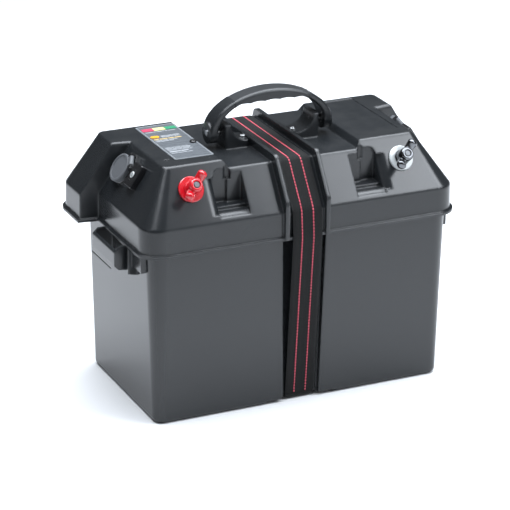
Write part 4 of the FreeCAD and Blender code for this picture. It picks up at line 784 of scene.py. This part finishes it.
def stitched_line(shape, line, x, lift, webbing):
    """A row of stitches along a line, at x across the webbing."""
    lengths = run_lengths(line)
    pitch = webbing.stitch + webbing.stitch_gap
    for index in range(int((lengths[-1] - webbing.stitch_gap) / pitch)):
        begin = webbing.stitch_gap + index * pitch
        ends = []
        for distance in (begin, begin + webbing.stitch):
            place, out = place_along(line, lengths, distance)
            ends.append(Vector((x, place.y, place.z)) + out * lift)
        _middle, out = place_along(line, lengths, begin + webbing.stitch / 2)
        stitch(shape, *ends, out, webbing.thread)


class BATTERYBOX_OT_webbing(bpy.types.Operator):
    """Weave the strap over and under the box, with its stitched lines and folded tail"""
    bl_idname = "batterybox.webbing"
    bl_label = "Webbing"

    def execute(self, context):
        webbing = context.scene.battery_box_webbing
        yarn = webbing_yarn(webbing)
        thread = tracer_thread(webbing)
        thick = webbing.thick
        for name, label, body in (("strap_upper", "over", "lid"), ("strap_lower", "under", "tub")):
            low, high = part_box(name)
            half = (high.x - low.x) / 2
            line = eased(middle_line(name), webbing.bend, webbing.step)
            shape = bmesh.new()
            webbing_band(shape, line, half, thick)
            band = piece_from(shape, "strap_" + label, yarn, body, sharp=60)
            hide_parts(name)
            shape = bmesh.new()
            for x in (-webbing.line_place, webbing.line_place):
                stitched_line(shape, line, x, thick / 2 + 0.1 * MM, webbing)
            piece_from(shape, "stitching_" + label, thread, body, sharp=80)
            if label == "over":
                self.fold_tail(line[-1], half, webbing, yarn, thread)
        return {"FINISHED"}

    def fold_tail(self, tail, half, webbing, yarn, thread):
        """The strap's loose end, folded back on itself and sewn across."""
        thick = webbing.thick
        top = tail + Vector((0, 0, webbing.fold))
        out = Vector((0, 1, 0))
        rows = 10
        fold = [tail.lerp(top, index / rows) + out * (thick * 1.02) for index in range(rows + 1)]
        turn = [tail + out * (thick * 0.51 * (1 - math.cos(math.pi * index / 6)))
                - Vector((0, 0, thick * 0.9 * math.sin(math.pi * index / 6))) for index in range(6)]
        shape = bmesh.new()
        webbing_band(shape, (turn + fold)[::-1], half * 0.995, thick * 0.96)
        piece_from(shape, "strap_tail_fold", yarn, "lid", sharp=60)
        shape = bmesh.new()
        lift = out * (thick * 1.55)
        sewn = half * 0.88
        pitch = 2.4 * MM
        ahead = Vector((2.0 * MM, 0, 0))
        for height in (0.2, 0.5, 0.8):
            level = tail.lerp(top, height) + lift
            for index in range(int(2 * sewn / pitch)):
                start = Vector((-sewn + index * pitch, level.y, level.z))
                stitch(shape, start, start + ahead, out, 0.32 * MM)
        piece_from(shape, "strap_tail_sewing", thread, "lid", sharp=80)


# ---- wing nuts and threads

# Radius and height of the hub's section in millimetres, up from its foot and down from its top.
HUB_FOOT = ((9.2, 0.0), (9.6, 1.0), (9.4, 2.4), (8.5, 3.4), (8.7, 8.0))
HUB_HEAD = ((8.4, 3.4), (7.6, 1.2), (6.2, 0.0))


def wing_angle(local):
    """Which way a wing nut's wings point about its stud, read from its own mesh."""
    far = max(local, key=lambda point: point.x * point.x + point.y * point.y)
    return math.atan2(far.y, far.x)


def cast_wing(shape, way, reach, low, high, thick):
    """One wing: a fat petal that leans out from the hub and swells into a rounded tip."""
    rows = 14
    lean = Vector((-way * 0.62, 0, 0.78))
    start = Vector((way * 4.5 * MM, 0, low + 8.0 * MM))
    tip = Vector((way * (reach - 1.0 * MM), 0, high + 0.5 * MM))
    rings = []
    for row in range(rows + 1):
        share = row / rows
        middle = start.lerp(tip, share)
        middle.z -= 1.4 * MM * math.sin(math.pi * share)
        end = math.sqrt(max(0.0, 1 - max(0.0, (share - 0.82) / 0.2) ** 2))
        tall = (6.0 - 1.6 * math.sin(math.pi * share)) * MM * end
        wide = thick / 2 * (0.95 + 0.3 * share) * end
        rings.append([middle + lean * (tall * sine) + Vector((0, wide * cosine, 0))
                      for cosine, sine in circle(20)])
    skin_rings(shape, rings)


class BATTERYBOX_OT_wing_nuts(bpy.types.Operator):
    """Cast the two wing nuts round their studs"""
    bl_idname = "batterybox.wing_nuts"
    bl_label = "Wing nuts"

    def execute(self, context):
        fittings = context.scene.battery_box_fittings
        moulding = context.scene.battery_box_moulding
        finishes = {"red": (red_plastic(moulding), "red_plastic"),
                    "black": (plated_metal("Dark chrome", fittings.dark_chrome, 0.14, 0.0005,
                                           0.00001), "black_chrome")}
        dress(finishes["red"][0], "pad_positive")
        for colour, (finish, slot) in finishes.items():
            self.cast(colour, finish, slot, fittings)
        return {"FINISHED"}

    def cast(self, colour, finish, slot, fittings):
        """One wing nut: hub, collar and two wings, melted into one casting."""
        name = "wing_nut_" + colour
        joint = JOINTS[name + "_turn"]
        place = frame_along(Vector(joint["pos_m"]), joint["axis"])
        local = seen_from(place, name)
        low = min(point.z for point in local)
        high = max(point.z for point in local)
        reach = max(math.hypot(point.x, point.y) for point in local)
        bore = min(math.hypot(point.x, point.y) for point in local)
        hub_top = low + fittings.hub_tall
        profile = [(bore, low)]
        profile += [(radius * MM, low + rise * MM) for radius, rise in HUB_FOOT]
        profile += [(radius * MM, hub_top - drop * MM) for radius, drop in HUB_HEAD]
        profile += [(bore + 0.4 * MM, hub_top), (bore, hub_top - 0.5 * MM)]
        shape = bmesh.new()
        turned_profile(shape, profile, Matrix.Identity(4))
        for way in (-1, 1):
            cast_wing(shape, way, reach, low, high, fittings.wing_thick)
        spun = place @ Matrix.Rotation(wing_angle(local), 4, "Z")
        made = piece_from(shape, name + "_cast", finish, name)
        melt = made.modifiers.new("Melt", "REMESH")
        melt.mode = "VOXEL"
        melt.voxel_size = fittings.voxel
        ease = made.modifiers.new("Ease", "SMOOTH")
        ease.iterations = 4
        ease.factor = 0.5
        baked_mesh(made)
        shape = bmesh.new()
        shape.from_mesh(made.data)
        for vertex in shape.verts:
            radius = math.hypot(vertex.co.x, vertex.co.y)
            if 1e-9 < radius < bore and low < vertex.co.z < hub_top:
                vertex.co.x *= bore / radius
                vertex.co.y *= bore / radius
        bmesh.ops.transform(shape, matrix=spun, verts=shape.verts)
        shape.to_mesh(made.data)
        shape.free()
        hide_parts("wing_nut_" + colour)


class BATTERYBOX_OT_threads(bpy.types.Operator):
    """Cut the threads on the free ends of the terminal studs"""
    bl_idname = "batterybox.threads"
    bl_label = "Stud threads"

    def execute(self, context):
        fittings = context.scene.battery_box_fittings
        steel = plated_metal("Plated steel", fittings.steel, 0.2)
        brass = plated_metal("Brass", fittings.brass, 0.3)
        dulled = plated_metal("Dulled steel", fittings.dulled, 0.42)
        dress(dulled, "stud_positive", "stud_negative")
        dress(steel, "boss_screws", "handle_pins",
              "terminal_washers", "terminal_nuts", "cap_pins", "buckle_pin", "test_spring")
        dress(brass, "socket_contacts", "terminal_lugs")
        for sign in ("positive", "negative"):
            self.cut_thread(sign, dulled, fittings)
        return {"FINISHED"}

    def cut_thread(self, sign, finish, fittings):
        """A helical crest round a stud's free end."""
        mount = MOUNTS["terminal_" + sign]
        place = frame_along(Vector(mount["pos_m"]), mount["axis"])
        radius = mount["dims"]["r_mm"] * MM
        length = mount["dims"]["length_mm"] * MM
        root = radius - 0.15 * MM
        steps = 30
        pitch = fittings.thread_pitch
        turns = (length - 0.8 * pitch) / pitch
        rings = []
        for index in range(int(turns * steps) + 1):
            angle = 2 * math.pi * index / steps
            height = -length / 2 + 0.4 * pitch + pitch * index / steps
            fade = min(1.0, index / 12, (turns * steps - index) / 12 + 0.02)
            out = Vector((math.cos(angle), math.sin(angle), 0))
            crest = radius + fittings.thread_depth * fade
            section = ((root, -0.42 * pitch), (root, 0.42 * pitch), (crest, 0.06 * pitch),
                       (crest, -0.06 * pitch))
            rings.append([place @ (out * reach + Vector((0, 0, height + rise)))
                          for reach, rise in section])
        shape = bmesh.new()
        skin_rings(shape, rings)
        piece_from(shape, "stud_thread_" + sign, finish, "lid")


# ---- charge meter

SUNK = 0.02 * MM  # how far printed ink and rings start below the face that they lie on


def dashes(widths, gap):
    """Starts and ends of printed dashes one after another."""
    start = 0.0
    for width in widths:
        yield start, start + width
        start += width + gap


class BATTERYBOX_OT_meter(bpy.types.Operator):
    """Print the charge meter's panel and finish its windows, lamp and board"""
    bl_idname = "batterybox.meter"
    bl_label = "Charge meter"

    def execute(self, context):
        panel = context.scene.battery_box_panel
        dress(panel_overlay(panel), "meter_panel")
        dress(circuit_board(panel), "meter_board")
        for name, colour in (("window_red", panel.red), ("window_yellow", panel.yellow),
                             ("window_green", panel.green), ("lamp_amber", panel.amber)):
            dress(tinted_window(name, colour), name)
        ink = screened_ink("Light ink", panel.ink)
        self.print_border(panel, ink)
        self.print_rows(panel, ink, screened_ink("Warm ink", panel.warm_ink))
        return {"FINISHED"}

    def print_border(self, panel, ink):
        """A thin printed frame just inside the panel's edge."""
        low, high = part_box("meter_panel")
        shape = bmesh.new()
        inset = 1.3 * MM
        line = 0.5 * MM
        x_low, x_high = low.x + inset, high.x - inset
        y_low, y_high = low.y + inset, high.y - inset
        for x0, y0, x1, y1 in ((x_low, y_low, x_high, y_low + line),
                               (x_low, y_high - line, x_high, y_high),
                               (x_low, y_low + line, x_low + line, y_high - line),
                               (x_high - line, y_low + line, x_high, y_high - line)):
            slab(shape, (x0, y0, high.z - SUNK), (x1, y1, high.z + panel.print_thick))
        piece_from(shape, "panel_border", ink, "lid")

    def print_rows(self, panel, ink, warm):
        """Rows of plain dashes that stand for small print, with two ruled lines."""
        low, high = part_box("meter_panel")
        lamp_low, lamp_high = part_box("lamp_amber")
        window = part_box("window_red")[0].y
        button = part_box("test_button")[0].y
        left, right = low.x + 4.5 * MM, high.x - 4.5 * MM
        beside = lamp_high.x + 3 * MM
        light_sheet, warm_sheet = bmesh.new(), bmesh.new()
        base = high.z - SUNK
        top = high.z + panel.print_thick
        # Where a row hangs from, how far below, its height, its start, its dashes and its ink.
        for hung, drop, tall, start, widths, shape in (
                (window, 4.2, 1.3, left, (9, 3, 10, 3, 9), light_sheet),
                (lamp_high.y, 1.2, 1.1, beside, (8, 5, 9), light_sheet),
                (lamp_high.y, 3.4, 1.1, beside, (5, 9, 6), light_sheet),
                (lamp_low.y, -0.6, 1.1, beside, (10, 4, 7), light_sheet),
                (lamp_low.y, 5.0, 1.9, left, (6, 10, 7, 9), warm_sheet),
                (lamp_low.y, 9.0, 1.3, left, (9, 6, 11), light_sheet),
                (lamp_low.y, 12.4, 1.3, left, (5, 10, 5), light_sheet),
                (button, 6.5, 1.2, left, (11, 7, 12), light_sheet),
                (button, 10.0, 1.2, left, (7, 12, 9), light_sheet),
                (button, 13.5, 1.2, left, (12, 5, 8, 4), light_sheet),
                (button, 20.0, 2.0, left, (14, 9), light_sheet),
                (button, 25.0, 1.2, left, (8, 11, 6), light_sheet)):
            y = hung - drop * MM
            for begin, end in dashes([width * MM for width in widths], 1.1 * MM):
                if start + end > right:
                    break
                slab(shape, (start + begin, y, base), (start + end, y + tall * MM, top), 0.25 * MM)
        for drop in (3.2, 16.6):
            y = button - drop * MM
            slab(light_sheet, (left, y, base), (left + (right - left) * 0.72, y + 0.35 * MM, top))
        piece_from(light_sheet, "panel_print_light", ink, "lid")
        piece_from(warm_sheet, "panel_print_warm", warm, "lid")


# ---- sockets and breakers

class BATTERYBOX_OT_outlets(bpy.types.Operator):
    """Finish the sockets, their caps and the reset breakers"""
    bl_idname = "batterybox.outlets"
    bl_label = "Sockets and breakers"

    def execute(self, context):
        moulding = context.scene.battery_box_moulding
        fittings = black_fittings(moulding)
        cap = cap_plastic(moulding)
        white = white_plastic(moulding)
        dress(fittings, "socket_left", "socket_right", "socket_rings", "breaker_left",
              "breaker_right", "test_button")
        dress(cap, "socket_cap_left", "socket_cap_right")
        dress(white, "pad_negative", "reset_button_left", "reset_button_right")
        for side in ("left", "right"):
            self.cap_ring(side, cap)
            self.reset_surround(side, fittings)
        return {"FINISHED"}

    def cap_ring(self, side, cap):
        """A raised ring on a socket's cap."""
        mount = MOUNTS["socket_bore_" + side]
        out = Vector(mount["axis"])
        middle = Vector(mount["pos_m"])
        away = Vector(JOINTS["socket_cap_%s_open" % side]["pos_m"]) - middle
        away -= out * away.dot(out)
        place = frame_along(middle, out, away)
        local = seen_from(place, "socket_cap_" + side)
        face = max(point.z for point in local if point.x < 10 * MM)
        rim = max(math.hypot(point.x, point.y) for point in local if point.x < 0)
        section = ((3.4, -0.1), (3.3, 0.55), (2.9, 0.8), (0.7, 0.8), (0.1, 0.3), (0.05, -0.1))
        shape = bmesh.new()
        turned_profile(shape, [(rim - inset * MM, face + rise * MM) for inset, rise in section],
                       place, 64)
        piece_from(shape, "cap_ring_" + side, cap, "socket_cap_" + side, 40)

    def reset_surround(self, side, fittings):
        """The oval bezel round a reset button, with a dark ring on the button."""
        button = "reset_button_" + side
        out = Vector(JOINTS["reset_%s_pop" % side]["axis"])
        low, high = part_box(button)
        place = frame_along((low + high) / 2, out, Vector((0, 1, 0)))
        face = max(point.z for point in seen_from(place, "breaker_" + side))
        tip = max(point.z for point in seen_from(place, button))
        foot, shoulder, crown = face - 0.05 * MM, face + 0.35 * MM, face + 0.6 * MM
        wide, tall, bore = 5.4 * MM, 7.4 * MM, 4.15 * MM
        rings = [[place @ Vector((x * cosine, y * sine, height)) for cosine, sine in circle(40)]
                 for x, y, height in ((wide, tall, foot), (wide, tall, shoulder),
                                      (wide * 0.93, tall * 0.93, crown), (bore, bore, crown),
                                      (bore, bore, foot))]
        shape = bmesh.new()
        loops = skin_rings(shape, rings, capped=False)
        for index, vertex in enumerate(loops[0]):
            after = (index + 1) % len(loops[0])
            shape.faces.new((loops[-1][index], loops[-1][after], loops[0][after], vertex))
        piece_from(shape, "reset_bezel_" + side, fittings, "lid", 40)
        shape = bmesh.new()
        turned_profile(shape, [(1.35 * MM, tip - 0.12 * MM), (1.35 * MM, tip + 0.06 * MM),
                               (2.0 * MM, tip + 0.02 * MM), (2.0 * MM, tip - 0.2 * MM)], place, 32)
        piece_from(shape, "reset_mark_" + side, fittings, button)


# ---- buckle

class BATTERYBOX_OT_buckle(bpy.types.Operator):
    """Finish the cam buckle, with thumb ribs on its lever"""
    bl_idname = "batterybox.buckle"
    bl_label = "Buckle"

    def execute(self, context):
        nylon = buckle_plastic(context.scene.battery_box_moulding)
        dress(nylon, "buckle_frame", "buckle_lever")
        low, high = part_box("buckle_lever")
        left, right = low.x + 4.0 * MM, high.x - 4.0 * MM
        shape = bmesh.new()
        for index in range(5):
            z = low.z + (11.0 + 3.2 * index) * MM
            outer = self.face_at(z)
            slab(shape, (left, outer - 0.6 * MM, z), (right, outer + 0.7 * MM, z + 1.3 * MM),
                 0.3 * MM)
        piece_from(shape, "lever_ribs", nylon, "buckle_lever")
        return {"FINISHED"}

    def face_at(self, z):
        """How far back the lever's outer face stands at a height."""
        mesh = NODES["buckle_lever"].data
        best = None
        for edge in mesh.edges:
            first, second = (mesh.vertices[index].co for index in edge.vertices)
            if (first.z - z) * (second.z - z) > 0 or abs(first.z - second.z) < 1e-9:
                continue
            y = first.y + (second.y - first.y) * (z - first.z) / (second.z - first.z)
            best = y if best is None else max(best, y)
        return best


# ---- shells

class BATTERYBOX_OT_shells(bpy.types.Operator):
    """Finish the tub, the lid and the handle"""
    bl_idname = "batterybox.shells"
    bl_label = "Tub, lid and handle"

    def execute(self, context):
        moulding = context.scene.battery_box_moulding
        dress(charcoal_moulding(moulding), "tub", "lid", "handle_core")
        dress(soft_grip(moulding), "handle_grip")
        return {"FINISHED"}


# ---- stage

def soft_box(name, place, aim, size, power, colour=(0.93, 0.98, 1.05)):
    """A rectangular soft box aimed at a point."""
    light = bpy.data.lights.new(name, "AREA")
    light.shape = "RECTANGLE"
    light.size, light.size_y = size
    light.energy = power
    light.color = colour
    made = bpy.data.objects.new(name, light)
    made.location = place
    made.rotation_mode = "QUATERNION"
    made.rotation_quaternion = (Vector(place) - Vector(aim)).to_track_quat("Z", "Y")
    bpy.context.scene.collection.objects.link(made)
    return made


class BATTERYBOX_OT_stage(bpy.types.Operator):
    """Lay the floor, hang the lights and set up the camera"""
    bl_idname = "batterybox.stage"
    bl_label = "Stage"

    def execute(self, context):
        stage = context.scene.battery_box_stage
        self.floor(stage)
        self.lights(context, stage)
        self.camera(context, stage)
        return {"FINISHED"}

    def floor(self, stage):
        """A plain pale floor just under the box."""
        shape = bmesh.new()
        bmesh.ops.create_grid(shape, x_segments=8, y_segments=8, size=stage.floor_size / 2)
        mesh = bpy.data.meshes.new("studio_floor")
        shape.to_mesh(mesh)
        shape.free()
        made = bpy.data.objects.new("studio_floor", mesh)
        made.location.z = CAD_LOW.z - 0.2 * MM
        mesh.materials.append(studio_floor(stage))
        bpy.context.scene.collection.objects.link(made)

    def lights(self, context, stage):
        """A key on the front slopes, an overhead fill and a low light on the left end."""
        centre = (CAD_LOW + CAD_HIGH) / 2
        lid = Vector((0.10, 0.0, CAD_HIGH.z - 0.08))
        soft_box("key_box", lid + Vector((1.22, -1.22, 1.34)), lid, (0.95, 0.80), stage.key)
        soft_box("top_box", centre + Vector((0.15, 0.20, 1.55)), centre + Vector((0.15, 0.20, 0)),
                 (2.3, 1.7), stage.fill)
        soft_box("side_box", centre + Vector((-1.9, -0.5, 0.9)), centre, (0.5, 1.1), stage.rim)
        soft_box("front_box", centre + Vector((1.0, -2.1, 0.45)), centre, (2.0, 0.9), stage.front)
        soft_box("back_box", Vector((0.3, 2.6, 2.6)), Vector((0.3, 2.4, 0)), (3.0, 1.6), stage.back)
        world = bpy.data.worlds.new("studio")
        world.use_nodes = True
        background = world.node_tree.nodes["Background"]
        background.inputs["Color"].default_value = (0.95, 0.97, 1.0, 1.0)
        background.inputs["Strength"].default_value = stage.sky
        context.scene.world = world
        context.scene.view_settings.view_transform = "Standard"

    def camera(self, context, stage):
        """The camera, looking down on the front left corner."""
        across = math.cos(stage.elevation)
        back = Vector((math.sin(stage.azimuth) * across, -math.cos(stage.azimuth) * across,
                       math.sin(stage.elevation)))
        right = Vector((math.cos(stage.azimuth), math.sin(stage.azimuth), 0))
        up = back.cross(right)
        rolled_right = right * math.cos(stage.roll) + up * math.sin(stage.roll)
        rolled_up = up * math.cos(stage.roll) - right * math.sin(stage.roll)
        data = bpy.data.cameras.new("camera")
        data.lens = stage.lens
        data.shift_x, data.shift_y = stage.shift
        data.clip_start = 0.05
        data.clip_end = 60.0
        made = bpy.data.objects.new("camera", data)
        turn = Matrix((rolled_right, rolled_up, back)).transposed().to_4x4()
        made.matrix_world = Matrix.Translation(Vector((0, 0, stage.target))
                                               + back * stage.distance) @ turn
        context.scene.collection.objects.link(made)
        context.scene.camera = made


# ---- add-on

class BATTERYBOX_PT_panel(bpy.types.Panel):
    """Every step of the battery box in one place"""
    bl_idname = "BATTERYBOX_PT_panel"
    bl_label = "Battery Box"
    bl_space_type = "VIEW_3D"
    bl_region_type = "UI"
    bl_category = "Battery Box"

    def draw(self, context):
        for step in STEPS:
            self.layout.operator(step.bl_idname)


SETTINGS = {
    "battery_box_moulding": BatteryBoxMoulding,
    "battery_box_webbing": BatteryBoxWebbing,
    "battery_box_fittings": BatteryBoxFittings,
    "battery_box_panel": BatteryBoxPanel,
    "battery_box_stage": BatteryBoxStage,
}
STEPS = (
    BATTERYBOX_OT_stage,
    BATTERYBOX_OT_shells,
    BATTERYBOX_OT_webbing,
    BATTERYBOX_OT_wing_nuts,
    BATTERYBOX_OT_threads,
    BATTERYBOX_OT_meter,
    BATTERYBOX_OT_outlets,
    BATTERYBOX_OT_buckle,
)


def register():
    """Register the settings, the steps and the panel."""
    for name, group in SETTINGS.items():
        bpy.utils.register_class(group)
        setattr(bpy.types.Scene, name, PointerProperty(type=group))
    for step in STEPS:
        bpy.utils.register_class(step)
    bpy.utils.register_class(BATTERYBOX_PT_panel)


def unregister():
    """Take the panel, the steps and the settings away again."""
    bpy.utils.unregister_class(BATTERYBOX_PT_panel)
    for step in reversed(STEPS):
        bpy.utils.unregister_class(step)
    for name, group in SETTINGS.items():
        delattr(bpy.types.Scene, name)
        bpy.utils.unregister_class(group)


def main():
    """Build every piece."""
    register()
    bpy.ops.batterybox.stage()
    bpy.ops.batterybox.shells()
    bpy.ops.batterybox.webbing()
    bpy.ops.batterybox.wing_nuts()
    bpy.ops.batterybox.threads()
    bpy.ops.batterybox.meter()
    bpy.ops.batterybox.outlets()
    bpy.ops.batterybox.buckle()


if __name__ == "__main__":
    main()
